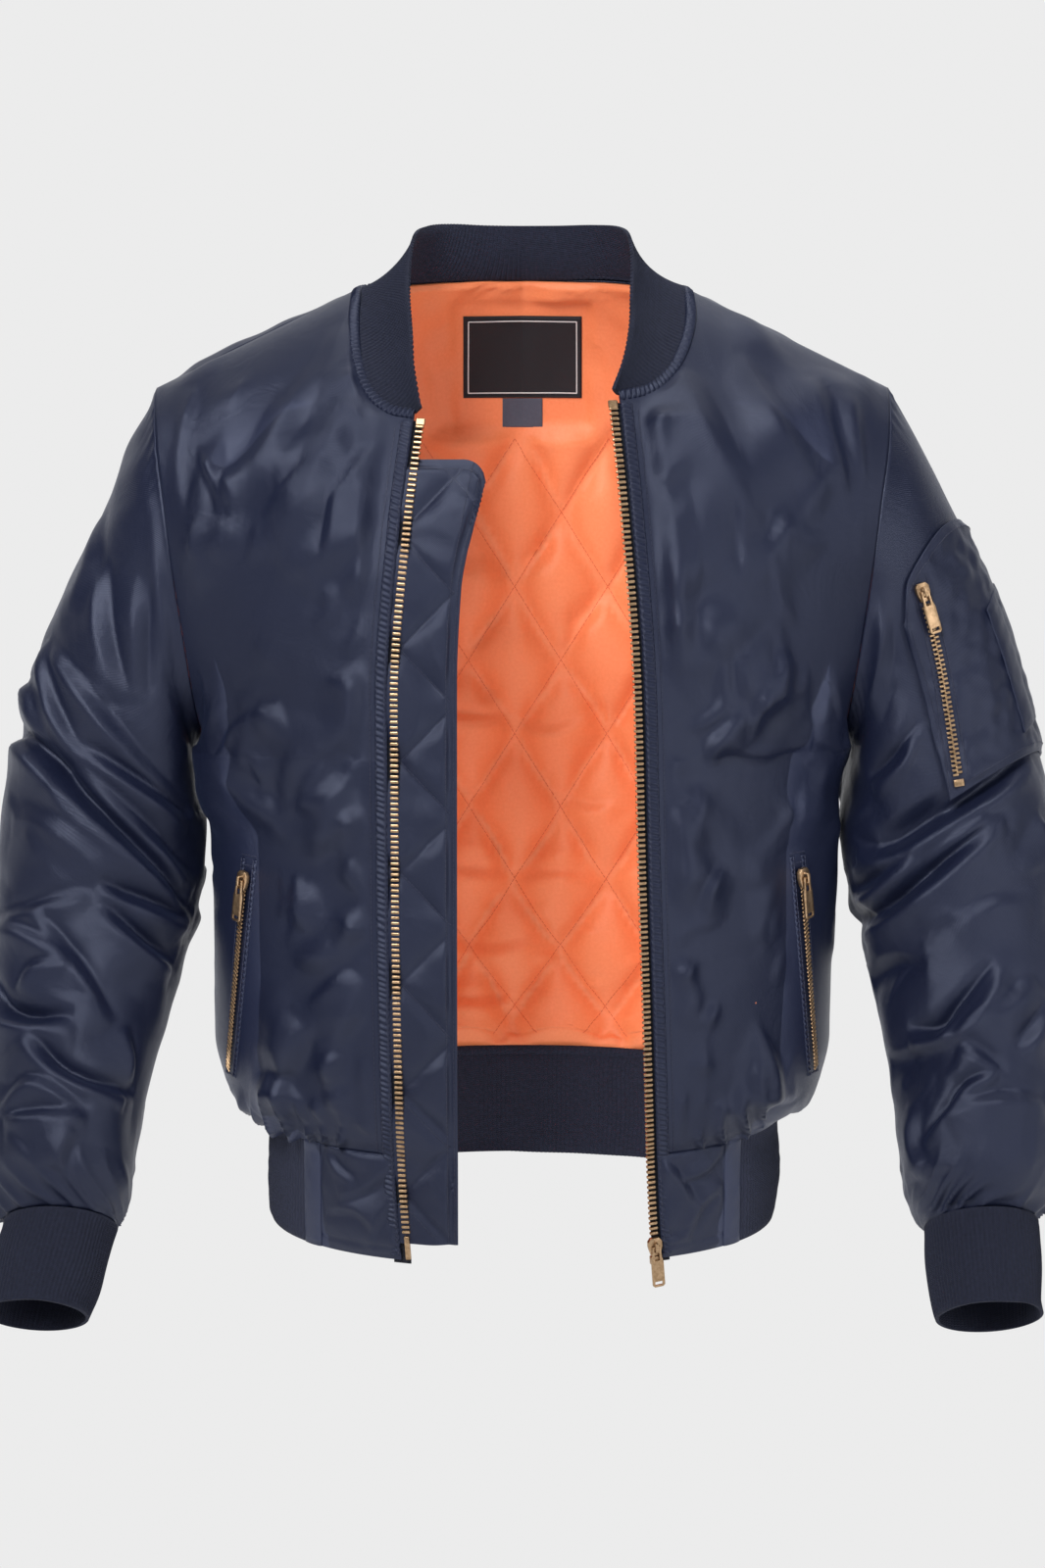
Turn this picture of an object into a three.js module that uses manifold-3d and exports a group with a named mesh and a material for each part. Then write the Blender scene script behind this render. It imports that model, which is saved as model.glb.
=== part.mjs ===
// A nylon flight jacket worn open, filled out as on a wearer, with nobody inside it.
// Millimetres, +Z up. The wearer faces -Y and the wearer's right side is at -X.
// The origin is midway between the two points where the collar meets the shoulder seams.
import * as THREE from "three";
import { mergeVertices } from "three/addons/utils/BufferGeometryUtils.js";
import Module from "manifold-3d";

const wasm = await Module();
wasm.setup();

// ---------- driving dimensions ----------
const satin = 2;
const knit = 2.4;
const quilting = 2.6;
const tapeThick = 1;
const seamGap = 0.3;
const liningDepth = satin + 0.5;
const onTop = 0.7;

const neckPoint = { x: 116, z: -4 };
const shoulderTip = { x: 256, z: -72 };
const underarm = { x: 225, z: -320 };
const chestZ = -200;
const backNeckZ = 5;
const bandTop = -588;
const bandBottom = -664;
const panelEdge = 5;

const neckCells = 5;
const backNeckCells = 4;
const shoulderCells = 4;
const armRows = 10;

// Torso sections: height, half width, depth in front of the side seam and behind it.
// Above the underarm the half width is that of the curve which the armhole cuts.
const sections = [
  { z: -664, half: 182, front: 118, back: 106 },
  { z: -630, half: 185, front: 121, back: 108 },
  { z: -600, half: 184, front: 122, back: 107 },
  { z: -588, half: 187, front: 123, back: 108 },
  { z: -578, half: 203, front: 125, back: 117 },
  { z: -560, half: 215, front: 129, back: 124 },
  { z: -530, half: 221, front: 133, back: 128 },
  { z: -440, half: 221, front: 137, back: 128 },
  { z: -350, half: 221, front: 137, back: 127 },
  { z: -320, half: 225, front: 137, back: 126 },
  { z: -300, half: 234.5, front: 137, back: 126 },
  { z: -260, half: 255, front: 136, back: 125 },
  { z: -200, half: 277, front: 134, back: 122 },
  { z: -130, half: 301, front: 134, back: 122 },
  { z: -72, half: 315, front: 134, back: 122 },
  { z: 60, half: 330, front: 134, back: 122 },
];

// The armhole seam from the underarm up to the shoulder tip.
const armhole = [
  { z: -320, x: 225 },
  { z: -260, x: 231 },
  { z: -205, x: 238 },
  { z: -150, x: 245 },
  { z: -110, x: 252 },
  { z: -72, x: 256 },
];

// The line of the front zip's teeth: distance from the middle at each height.
const zipLine = {
  right: [
    { z: -664, x: 79 },
    { z: -593, x: 83.5 },
    { z: -401, x: 86 },
    { z: -282, x: 86 },
    { z: -164, x: 77 },
    { z: -88, x: 67.5 },
  ],
  left: [
    { z: -664, x: 92.5 },
    { z: -630, x: 90 },
    { z: -503, x: 84.5 },
    { z: -401, x: 80.5 },
    { z: -270, x: 76.5 },
    { z: -152, x: 67.5 },
    { z: -76, x: 60 },
  ],
};

// Where the collar is sewn to each front, from the zip up to the shoulder seam.
const neckline = {
  right: [
    { x: 72.5, z: -88 },
    { x: 91, z: -84 },
    { x: 105, z: -71 },
    { x: 113, z: -50 },
    { x: 116, z: -25 },
    neckPoint,
  ],
  left: [
    { x: 65, z: -76 },
    { x: 86, z: -71 },
    { x: 101, z: -59 },
    { x: 111, z: -41 },
    { x: 116, z: -22 },
    neckPoint,
  ],
};

// The collar's free edge, from the zip round to the middle of the back.
const collarEdge = {
  right: [
    { x: 69, y: -102, z: -84 },
    { x: 73, y: -93, z: -62 },
    { x: 76, y: -78, z: -38 },
    { x: 78, y: -58, z: -12 },
    { x: 78, y: -33, z: 14 },
    { x: 76, y: -8, z: 33 },
    { x: 68, y: 20, z: 40 },
    { x: 50, y: 42, z: 42 },
    { x: 26, y: 55, z: 42 },
    { x: 0, y: 59, z: 42 },
  ],
  left: [
    { x: 62, y: -101, z: -72 },
    { x: 68, y: -93, z: -54 },
    { x: 72, y: -78, z: -32 },
    { x: 75, y: -58, z: -8 },
    { x: 76, y: -33, z: 16 },
    { x: 75, y: -8, z: 33 },
    { x: 68, y: 20, z: 40 },
    { x: 50, y: 42, z: 42 },
    { x: 26, y: 55, z: 42 },
  ],
};
const collarBow = 8;
const collarRows = 4;
const collarRise = 0.7;

// Sleeve rings down the arm: outer and inner edge seen from the front, middle's y, half depth,
// and how far the ring leans forward in degrees.
const sleeveRings = {
  right: [
    { outX: 270, outZ: -102, inX: 232, inZ: -325, y: 0, deep: 72, lean: 0 },
    { outX: 288, outZ: -146, inX: 231, inZ: -344, y: 0, deep: 71, lean: 0 },
    { outX: 309, outZ: -190, inX: 229, inZ: -363, y: -1, deep: 70, lean: 0 },
    { outX: 331, outZ: -233, inX: 227, inZ: -382, y: -3, deep: 69, lean: 1 },
    { outX: 346, outZ: -276, inX: 228, inZ: -404, y: -6, deep: 69, lean: 3 },
    { outX: 357, outZ: -322, inX: 230, inZ: -430, y: -11, deep: 69, lean: 6 },
    { outX: 365, outZ: -370, inX: 235, inZ: -456, y: -18, deep: 69, lean: 10 },
    { outX: 370, outZ: -420, inX: 243, inZ: -486, y: -29, deep: 68, lean: 14 },
    { outX: 373, outZ: -470, inX: 252, inZ: -518, y: -43, deep: 67, lean: 19 },
    { outX: 376, outZ: -520, inX: 261, inZ: -550, y: -60, deep: 66, lean: 24 },
    { outX: 378, outZ: -566, inX: 266, inZ: -582, y: -80, deep: 64, lean: 29 },
    { outX: 378, outZ: -600, inX: 269, inZ: -608, y: -97, deep: 62, lean: 33 },
    { outX: 372, outZ: -624, inX: 272, inZ: -628, y: -109, deep: 56, lean: 35 },
    { outX: 362, outZ: -637, inX: 277, inZ: -640, y: -115, deep: 45, lean: 35 },
    { outX: 356, outZ: -642, inX: 280, inZ: -644, y: -118, deep: 38, lean: 35 },
  ],
  left: [
    { outX: 276, outZ: -106, inX: 232, inZ: -325, y: 0, deep: 72, lean: 0 },
    { outX: 298, outZ: -148, inX: 231, inZ: -344, y: 0, deep: 71, lean: 0 },
    { outX: 319, outZ: -190, inX: 229, inZ: -362, y: -1, deep: 70, lean: 0 },
    { outX: 336, outZ: -232, inX: 227, inZ: -380, y: -3, deep: 69, lean: 1 },
    { outX: 350, outZ: -276, inX: 229, inZ: -401, y: -6, deep: 69, lean: 3 },
    { outX: 363, outZ: -322, inX: 233, inZ: -425, y: -11, deep: 69, lean: 6 },
    { outX: 374, outZ: -370, inX: 240, inZ: -452, y: -18, deep: 69, lean: 10 },
    { outX: 380, outZ: -420, inX: 246, inZ: -482, y: -29, deep: 68, lean: 14 },
    { outX: 383, outZ: -470, inX: 251, inZ: -514, y: -43, deep: 67, lean: 19 },
    { outX: 384, outZ: -520, inX: 258, inZ: -546, y: -60, deep: 66, lean: 24 },
    { outX: 383, outZ: -566, inX: 263, inZ: -579, y: -80, deep: 64, lean: 29 },
    { outX: 380, outZ: -600, inX: 264, inZ: -606, y: -97, deep: 62, lean: 33 },
    { outX: 371, outZ: -624, inX: 267, inZ: -627, y: -109, deep: 56, lean: 35 },
    { outX: 359, outZ: -637, inX: 274, inZ: -640, y: -115, deep: 45, lean: 35 },
    { outX: 354, outZ: -642, inX: 278, inZ: -644, y: -118, deep: 38, lean: 35 },
  ],
};
const cuffEnds = {
  right: { outX: 367, outZ: -695, inX: 295, inZ: -697, y: -155, deep: 36, lean: 35 },
  left: { outX: 354, outZ: -696, inX: 281, inZ: -698, y: -155, deep: 36, lean: 35 },
};

// Hand pocket openings, top to bottom, and the sleeve pocket in turns round and steps down the arm.
const handPockets = {
  right: { topX: 190, topZ: -404, lowX: 206, lowZ: -548 },
  left: { topX: 191, topZ: -402, lowX: 205, lowZ: -546 },
};
const sleevePocket = {
  turns: [-0.05, 0, 0.05, 0.1, 0.15, 0.2, 0.25],
  top: [1.86, 0.1],
  bottom: [5.3, 4.6],
  lift: 0.8,
};
const penStrip = { turns: [0, 0.05, 0.1], top: 2.5, bottom: 4.6 };
const sleeveZip = { topTurn: 0.2, topDown: 0.75, lowTurn: 0.232, lowDown: 4.45 };

const windFlap = { top: -117, bottom: -652, under: 12, thick: 1.6, depth: 4.1 };
const flapEdge = [
  { z: -664, x: 45 },
  { z: -268, x: 44 },
  { z: -205, x: 41 },
  { z: -165, x: 34 },
  { z: -117, x: 25 },
];
const stripFrom = 142;
const stripTo = 152;

const navy = 0x2b3047;
const navyKnit = 0x24283a;
const orange = 0xd96a3c;
const brass = 0xa98650;

// ---------- small helpers ----------
const vec = (x, y, z) => new THREE.Vector3(x, y, z);
const mix = (a, b, t) => a + (b - a) * t;
const sides = [["right", -1], ["left", 1]];

// Smooth value of one column of a table whose rows rise in z.
function read(rows, z, column) {
  const last = rows.length - 1;
  let k = 0;
  while (k < last - 1 && z > rows[k + 1].z) k += 1;
  const secant = (i) => (rows[i + 1][column] - rows[i][column]) / (rows[i + 1].z - rows[i].z);
  const slope = (i) => {
    if (i === 0) return secant(0);
    if (i === last) return secant(last - 1);
    const a = secant(i - 1);
    const b = secant(i);
    return a * b > 0 ? (2 * a * b) / (a + b) : 0;
  };
  const span = rows[k + 1].z - rows[k].z;
  const t = Math.min(1, Math.max(0, (z - rows[k].z) / span));
  const rise = rows[k + 1][column] - rows[k][column];
  const s0 = slope(k) * span;
  const s1 = slope(k + 1) * span;
  return rows[k][column] + s0 * t + (3 * rise - 2 * s0 - s1) * t ** 2 + (s0 + s1 - 2 * rise) * t ** 3;
}

// ---------- the torso's surface ----------
const roundness = 2.2;
const shoulderSlope = (shoulderTip.z - neckPoint.z) / (shoulderTip.x - neckPoint.x);
const shoulderHeight = (x) => neckPoint.z + (Math.abs(x) - neckPoint.x) * shoulderSlope;
const closing = (t, power) => Math.max(0, 1 - t ** power) ** (1 / power);

// Distance of the surface from the plane of the side seams; face is -1 in front, 1 behind.
function depth(face, x, z) {
  const across = closing(Math.min(1, Math.abs(x) / read(sections, z, "half")), roundness);
  const reach = read(sections, z, face < 0 ? "front" : "back");
  const rise = Math.max(0, z - chestZ) / (shoulderHeight(x) - chestZ);
  return reach * across * closing(Math.min(1, rise), face < 0 ? 1.6 : 2);
}

// The waist hangs lower in front than behind.
function hang(z, y) {
  const t = Math.min(1, Math.max(0, (-450 - z) / 138));
  return (y < 0 ? 0.07 : 0.13) * y * t * t * (3 - 2 * t);
}

function torsoPoint(face, x, z, out = 0) {
  const step = 0.5;
  const slopeX = (depth(face, x + step, z) - depth(face, x - step, z)) / (2 * step);
  const slopeZ = (depth(face, x, z + step) - depth(face, x, z - step)) / (2 * step);
  const y = face * depth(face, x, z);
  const point = vec(x, y, z).addScaledVector(vec(-slopeX, face, -slopeZ).normalize(), out);
  point.z += hang(z, y);
  return point;
}

const armTurn = (k) => (1 - Math.cos((Math.PI * k) / armRows)) / 2;
const lowerRows = [-588, -579, -565, -540, -495, -430, -370, -320];

// Half a front or back as columns from its inner edge to the side seam and armhole.
function halfGrid(face, side, innerEdge, topLine) {
  const cells = topLine.length - 1;
  const atHeight = (share, z) => {
    const half = read(sections, z, "half");
    return half * Math.sin(mix(Math.asin(innerEdge(z) / half), Math.PI / 2, share));
  };
  return topLine.map((top, u) => {
    const share = u / cells;
    const column = lowerRows.map((z) => torsoPoint(face, side * atHeight(share, z), z));
    for (let k = 1; k <= armRows; k += 1) {
      const w = armTurn(k);
      const innerZ = mix(underarm.z, topLine[0].z, w);
      const outerZ = mix(underarm.z, shoulderTip.z, w);
      const straight = mix(mix(innerEdge(underarm.z), topLine[0].x, w),
        mix(underarm.x, shoulderTip.x, w), share);
      const edges = mix(innerEdge(innerZ), read(armhole, outerZ, "x"), share);
      const x = mix(atHeight(share, underarm.z), top.x, w) + edges - straight;
      const z = mix(underarm.z, top.z, w) + mix(innerZ, outerZ, share)
        - mix(underarm.z, mix(topLine[0].z, shoulderTip.z, share), w);
      const y = face * depth(face, x, z);
      column.push(vec(side * x, u === cells || z < shoulderHeight(x) - 0.01 ? y : 0, z));
    }
    return column;
  });
}

const shoulderLine = Array.from({ length: shoulderCells }, (_, k) => {
  const x = mix(neckPoint.x, shoulderTip.x, (k + 1) / shoulderCells);
  return { x, z: shoulderHeight(x) };
});
const backNeckline = Array.from({ length: backNeckCells }, (_, k) => ({
  x: neckPoint.x * Math.sin((k / backNeckCells) * 1.25) / Math.sin(1.25),
  z: mix(backNeckZ, neckPoint.z, (k / backNeckCells) ** 2.2),
}));

// ---------- solids ----------
function closed(points, quads) {
  const position = points.flatMap((p) => [p.x, p.y, p.z]);
  const index = quads.flatMap(([a, b, c, d]) => (d === undefined ? [a, b, c] : [a, b, c, a, c, d]));
  let volume = 0;
  for (let k = 0; k < index.length; k += 3) {
    const [a, b, c] = [points[index[k]], points[index[k + 1]], points[index[k + 2]]];
    volume += a.dot(b.clone().cross(c));
  }
  const geometry = new THREE.BufferGeometry();
  geometry.setAttribute("position", new THREE.Float32BufferAttribute(position, 3));
  geometry.setIndex(volume > 0 ? index : index.reverse());
  return geometry;
}

// Outward normals at the points of a grid of columns, away from what lies inside it.
function normalsOf(grid, wrap, inside) {
  const sums = grid.map((column) => column.map(() => vec(0, 0, 0)));
  let facing = 0;
  for (let i = 0; i < grid.length - (wrap ? 0 : 1); i += 1) {
    const next = (i + 1) % grid.length;
    for (let j = 0; j < grid[0].length - 1; j += 1) {
      const down = grid[next][j + 1].clone().sub(grid[i][j]);
      const normal = down.cross(grid[i][j + 1].clone().sub(grid[next][j]));
      facing += normal.dot(grid[i][j].clone().sub(inside(j)));
      [[i, j], [next, j], [i, j + 1], [next, j + 1]].forEach(([a, b]) => sums[a][b].add(normal));
    }
  }
  sums.flat().forEach((sum) => sum.normalize().multiplyScalar(Math.sign(facing)));
  return sums;
}

// A wall between two depths below a grid's surface.
function wall(grid, normals, from, to, wrap = false) {
  const columns = grid.length;
  const rows = grid[0].length;
  const points = [from, to].flatMap((below) => grid.flatMap((column, i) =>
    column.map((point, j) => point.clone().addScaledVector(normals[i][j], -below))));
  const at = (layer, i, j) => (layer * columns + (i % columns)) * rows + j;
  const quads = [];
  const rim = (a, b, c, d) => {
    const short = points[a].distanceTo(points[c]) < points[b].distanceTo(points[d]);
    quads.push(short ? [a, b, c, d] : [b, c, d, a]);
  };
  for (let i = 0; i < columns - (wrap ? 0 : 1); i += 1) {
    for (let j = 0; j < rows - 1; j += 1) {
      quads.push([at(0, i, j), at(0, i + 1, j), at(0, i + 1, j + 1), at(0, i, j + 1)]);
      quads.push([at(1, i, j), at(1, i, j + 1), at(1, i + 1, j + 1), at(1, i + 1, j)]);
    }
    rim(at(0, i, 0), at(1, i, 0), at(1, i + 1, 0), at(0, i + 1, 0));
    rim(at(0, i, rows - 1), at(0, i + 1, rows - 1), at(1, i + 1, rows - 1), at(1, i, rows - 1));
  }
  for (let j = 0; j < rows - 1 && !wrap; j += 1) {
    const end = columns - 1;
    rim(at(0, 0, j), at(0, 0, j + 1), at(1, 0, j + 1), at(1, 0, j));
    rim(at(0, end, j), at(1, end, j), at(1, end, j + 1), at(0, end, j + 1));
  }
  return closed(points, quads);
}

// A bar through sections of four corners each; a ring of sections joins end to end.
function bar(stations, ring = false) {
  const count = stations.length;
  const at = (k, corner) => (k % count) * 4 + (corner % 4);
  const quads = ring ? [] : [
    [at(0, 3), at(0, 2), at(0, 1), at(0, 0)],
    [at(count - 1, 0), at(count - 1, 1), at(count - 1, 2), at(count - 1, 3)],
  ];
  for (let k = 0; k < count - (ring ? 0 : 1); k += 1) {
    for (let corner = 0; corner < 4; corner += 1) {
      quads.push([at(k, corner), at(k, corner + 1), at(k + 1, corner + 1), at(k + 1, corner)]);
    }
  }
  return closed(stations.flat(), quads);
}

// A strip lying over a surface: place(across, out) gives its corners at each station.
function strip(steps, place, halfWidth, low, high) {
  return bar(steps.map((step) => [
    place(step, -halfWidth, low), place(step, halfWidth, low),
    place(step, halfWidth, high), place(step, -halfWidth, high),
  ]));
}

const spread = (from, to, cells) => Array.from({ length: cells + 1 }, (_, k) => mix(from, to, k / cells));

// ---------- the group ----------
const jacket = new THREE.Group();

function add(name, geometry, color, roughness = 0.7, metalness = 0) {
  const mesh = new THREE.Mesh(geometry, new THREE.MeshStandardMaterial({ color, roughness, metalness }));
  mesh.name = name;
  jacket.add(mesh);
  return mesh;
}

// ---------- fronts, back and sleeves share their seams ----------
const torsoMiddle = () => vec(0, 0, -300);
const fronts = {};
const sleeves = {};

function ringPoint(ring, side, turn) {
  const angle = turn * 2 * Math.PI;
  const lean = THREE.MathUtils.degToRad(ring.lean);
  const across = Math.cos(angle) / 2;
  const forward = ring.deep * Math.sin(angle);
  return vec(
    side * ((ring.outX + ring.inX) / 2 + (ring.outX - ring.inX) * across),
    ring.y - forward * Math.cos(lean),
    (ring.outZ + ring.inZ) / 2 + (ring.outZ - ring.inZ) * across + forward * Math.sin(lean),
  );
}

function armholePoint(side, turn) {
  const angle = turn * 2 * Math.PI;
  const z = mix(underarm.z, shoulderTip.z, (1 + Math.cos(angle)) / 2);
  const x = read(armhole, z, "x");
  const face = Math.sin(angle) > 0 ? -1 : 1;
  const onSeam = Math.abs(Math.sin(angle)) < 1e-9;
  return vec(side * (x + seamGap), onSeam ? 0 : face * depth(face, x, z), z);
}

const turns = Array.from({ length: 2 * armRows }, (_, k) => k / (2 * armRows));
const mirror = (grid) => grid.map((column) => column.map((p) => vec(-p.x, p.y, p.z)));

const backHalf = halfGrid(1, 1, () => 0, [...backNeckline, neckPoint, ...shoulderLine]);
const back = [...mirror(backHalf).reverse().slice(0, -1), ...backHalf];
const backNormals = normalsOf(back, false, torsoMiddle);

for (const [name, side] of sides) {
  const inner = (z) => read(zipLine[name], z, "x") + panelEdge;
  const grid = halfGrid(-1, side, inner, [...neckline[name], ...shoulderLine]);
  fronts[name] = { grid, normals: normalsOf(grid, false, torsoMiddle) };
  const rings = sleeveRings[name];
  const tube = turns.map((turn) => [
    armholePoint(side, turn),
    ...rings.map((ring) => ringPoint(ring, side, turn)),
  ]);
  const middle = (j) => {
    const ring = rings[Math.max(0, j - 1)];
    return vec(side * (ring.outX + ring.inX) / 2, ring.y, (ring.outZ + ring.inZ) / 2);
  };
  sleeves[name] = { grid: tube, normals: normalsOf(tube, true, middle) };
}

// Pieces that meet at a seam lean their walls the same way there.
function shareNormals(list, flattenY) {
  const sum = vec(0, 0, 0);
  list.forEach((normal) => sum.add(normal));
  if (flattenY) sum.y = 0;
  sum.normalize();
  list.forEach((normal) => normal.copy(sum));
}

for (const [name, side] of sides) {
  const front = fronts[name];
  const backColumn = side < 0 ? 0 : back.length - 1;
  const frontColumn = front.grid.length - 1;
  const lower = lowerRows.length - 1;
  const sleeveNormals = sleeves[name].normals;
  for (let j = 0; j < lower; j += 1) {
    shareNormals([front.normals[frontColumn][j], backNormals[backColumn][j]], true);
  }
  for (let k = 0; k <= armRows; k += 1) {
    const row = lower + armRows - k;
    const list = [front.normals[frontColumn][row], sleeveNormals[k][0]];
    const rear = [backNormals[backColumn][row], sleeveNormals[(2 * armRows - k) % (2 * armRows)][0]];
    if (k === 0 || k === armRows) {
      shareNormals([...list, rear[0]], true);
    } else {
      shareNormals(list, false);
      shareNormals(rear, false);
    }
  }
  const top = front.grid[0].length - 1;
  for (let k = 0; k < shoulderCells; k += 1) {
    const rear = side < 0 ? shoulderCells - k : back.length - 1 - shoulderCells + k;
    shareNormals([front.normals[neckCells + k][top], backNormals[rear][top]], true);
  }
}

// Side and shoulder seams lie at y = 0: the pieces stand half the seam gap back from it.
function openSeams(grid, face) {
  grid.flat().forEach((point) => {
    if (Math.abs(point.y) < seamGap / 2) point.y = (face * seamGap) / 2;
  });
}
openSeams(back, 1);
sides.forEach(([name]) => openSeams(fronts[name].grid, -1));

// ---------- shell and lining ----------
const part = (grid, fromColumn, toColumn, fromRow, toRow) =>
  grid.slice(fromColumn, toColumn + 1).map((column) => column.slice(fromRow, toRow + 1));

const topRow = back[0].length - 1;
add("back", wall(back, backNormals, 0, satin), navy, 0.5);
add("lining_back", wall(part(back, 0, back.length, 1, topRow), part(backNormals, 0, back.length, 1, topRow),
  liningDepth, liningDepth + quilting), orange, 0.6);
for (const [name] of sides) {
  const { grid, normals } = fronts[name];
  add(`front_${name}`, wall(grid, normals, 0, satin), navy, 0.5);
  add(`lining_${name}`, wall(part(grid, 2, grid.length, 1, topRow - 1), part(normals, 2, grid.length, 1, topRow - 1),
    liningDepth, liningDepth + quilting), orange, 0.6);
  add(`sleeve_${name}`, wall(sleeves[name].grid, sleeves[name].normals, 0, satin, true), navy, 0.5);
}

// ---------- cuffs ----------
for (const [name, side] of sides) {
  const top = sleeveRings[name].at(-1);
  const end = cuffEnds[name];
  const columns = ["outX", "outZ", "inX", "inZ", "y", "deep", "lean"];
  const between = (t) => Object.fromEntries(columns.map((key) => [key, mix(top[key], end[key], t)]));
  const heights = [0.008, 0.5, 1];
  const grid = turns.map((turn) => heights.map((t) => ringPoint(between(t), side, turn)));
  const middle = (j) => {
    const ring = between(heights[j]);
    return vec(side * (ring.outX + ring.inX) / 2, ring.y, (ring.outZ + ring.inZ) / 2);
  };
  add(`cuff_${name}`, wall(grid, normalsOf(grid, true, middle), 0, knit, true), navyKnit, 0.9);
}

// ---------- collar ----------
function collarColumn(root, edge) {
  const start = collarRise / root.distanceTo(edge);
  const inward = vec(-root.x, -root.y, 0).normalize();
  const width = root.distanceTo(edge) / 60;
  return spread(start, 1, collarRows).map((t) => {
    const bow = collarBow * width * 4 * t * (1 - t);
    return root.clone().lerp(edge, t).addScaledVector(inward, bow * 0.6).add(vec(0, 0, -bow * 0.8));
  });
}

const collarGrid = [];
for (const [name, side] of sides) {
  const roots = fronts[name].grid.slice(0, neckCells + 1).map((column) => column[topRow].clone());
  roots[neckCells].y = 0;
  const centre = (back.length - 1) / 2;
  for (let k = 1; k <= backNeckCells; k += 1) {
    roots.push(back[centre + side * (backNeckCells - k)][topRow]);
  }
  const edges = collarEdge[name].map((edge) => vec(side * edge.x, edge.y, edge.z));
  const columns = edges.map((edge, k) => collarColumn(roots[k], edge));
  collarGrid.push(...(side < 0 ? columns : columns.reverse()));
}
const neckMiddle = () => vec(0, 0, -40);
add("collar", wall(collarGrid, normalsOf(collarGrid, false, neckMiddle), 0, knit), navyKnit, 0.9);

// ---------- waistband ----------
const bandRows = [bandTop - 0.6, -602, -632, bandBottom];

// A point of the band by its angle: 0 in front, 90 degrees at the side, 180 behind.
function bandPoint(side, angle, z) {
  const face = angle <= Math.PI / 2 ? -1 : 1;
  return torsoPoint(face, side * read(sections, z, "half") * Math.sin(angle), z);
}
const bandAngle = (x, z) => Math.asin(x / read(sections, z, "half"));

function bandPiece(side, from, to, cells) {
  const grid = spread(0, 1, cells).map((t) => bandRows.map((z) => bandPoint(side, mix(from(z), to(z), t), z)));
  return { grid, normals: normalsOf(grid, false, () => vec(0, 0, -620)) };
}

const ribColumns = [];
for (const [name, side] of sides) {
  const edge = (z) => bandAngle(read(zipLine[name], z, "x") + panelEdge, z);
  const panel = bandPiece(side, edge, (z) => bandAngle(stripFrom - seamGap, z), 3);
  add(`hem_${name}`, wall(panel.grid, panel.normals, 0, satin), navy, 0.5);
  const binding = bandPiece(side, (z) => bandAngle(stripFrom, z), (z) => bandAngle(stripTo - seamGap, z), 1);
  add(`hem_strip_${name}`, wall(binding.grid, binding.normals, 0, satin), navy, 0.5);
  const rib = bandPiece(side, (z) => bandAngle(stripTo, z), () => Math.PI, 14).grid;
  ribColumns.push(...(side < 0 ? rib : rib.reverse().slice(1)));
}
add("hem_rib", wall(ribColumns, normalsOf(ribColumns, false, () => vec(0, 0, -620)), 0, knit), navyKnit, 0.9);

// Heights where the fronts' own facets change, so that what follows their edge stays level with them.
function edgeHeights(name, from, to) {
  const topZ = neckline[name][0].z;
  const upper = Array.from({ length: armRows }, (_, k) => mix(underarm.z, topZ, armTurn(k + 1)));
  const inner = [...bandRows].reverse().concat(lowerRows, upper).filter((z) => z > from + 2 && z < to - 2);
  return [from, ...inner.filter((z) => z !== bandTop - 0.6), to];
}

// ---------- wind flap, behind the wearer's right half of the zip ----------
const flapGrid = spread(0, 1, 4).map((t) => 
  edgeHeights("right", windFlap.bottom, windFlap.top).map((z) => {
  const corner = Math.max(0, t - 0.7) * Math.max(0, (z - windFlap.top + 40) / 40) * 30;
  const outer = read(zipLine.right, z, "x") + windFlap.under;
  return torsoPoint(-1, -mix(outer, read(flapEdge, z, "x"), t), z - corner, -windFlap.depth);
}));
add("wind_flap", wall(flapGrid, normalsOf(flapGrid, false, torsoMiddle), 0, windFlap.thick), navy, 0.55);

// ---------- neck label and size tab, on the lining below the collar ----------
// A point on the back's faceted grid at a given x and z, so that what lies on it stays level with it.
function onBack(x, z, below) {
  const deep = back.map((column, i) => column.map((p, j) => p.clone().addScaledVector(backNormals[i][j], -below)));
  const last = back.length - 2;
  let column = 0;
  let row = 0;
  const corner = (a, b) => deep[column + a][row + b];
  const blend = (axis, s, t) => mix(mix(corner(0, 0)[axis], corner(1, 0)[axis], s),
    mix(corner(0, 1)[axis], corner(1, 1)[axis], s), t);
  for (column = 0; column <= last; column += 1) {
    for (row = lowerRows.length; row < topRow; row += 1) {
      let [s, t] = [0.5, 0.5];
      for (let pass = 0; pass < 8; pass += 1) {
        s += (x - blend("x", s, t)) / (blend("x", 1, t) - blend("x", 0, t));
        t += (z - blend("z", s, t)) / (blend("z", s, 1) - blend("z", s, 0));
      }
      if (s >= -1e-6 && s <= 1 + 1e-6 && t >= -1e-6 && t <= 1 + 1e-6) {
        return vec(blend("x", s, t), blend("y", s, t), blend("z", s, t));
      }
    }
  }
  throw new Error(`no point on the back at ${x}, ${z}`);
}

function patchOnLining(halfWidth, top, bottom, thick) {
  const below = liningDepth + quilting + 1.1;
  const layer = (deeper) => spread(-halfWidth, halfWidth, 6).map((x) =>
    spread(bottom, top, 4).map((z) => onBack(x, z, below + deeper)));
  const outer = layer(0);
  const normals = normalsOf(outer, false, torsoMiddle);
  return wall(outer, normals, 0, thick);
}
add("label", patchOnLining(44, -19, -79, 0.8), 0x15161c, 0.6);
add("size_tab", patchOnLining(15, -79.6, -101, 0.8), 0x59617a, 0.6);

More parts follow.
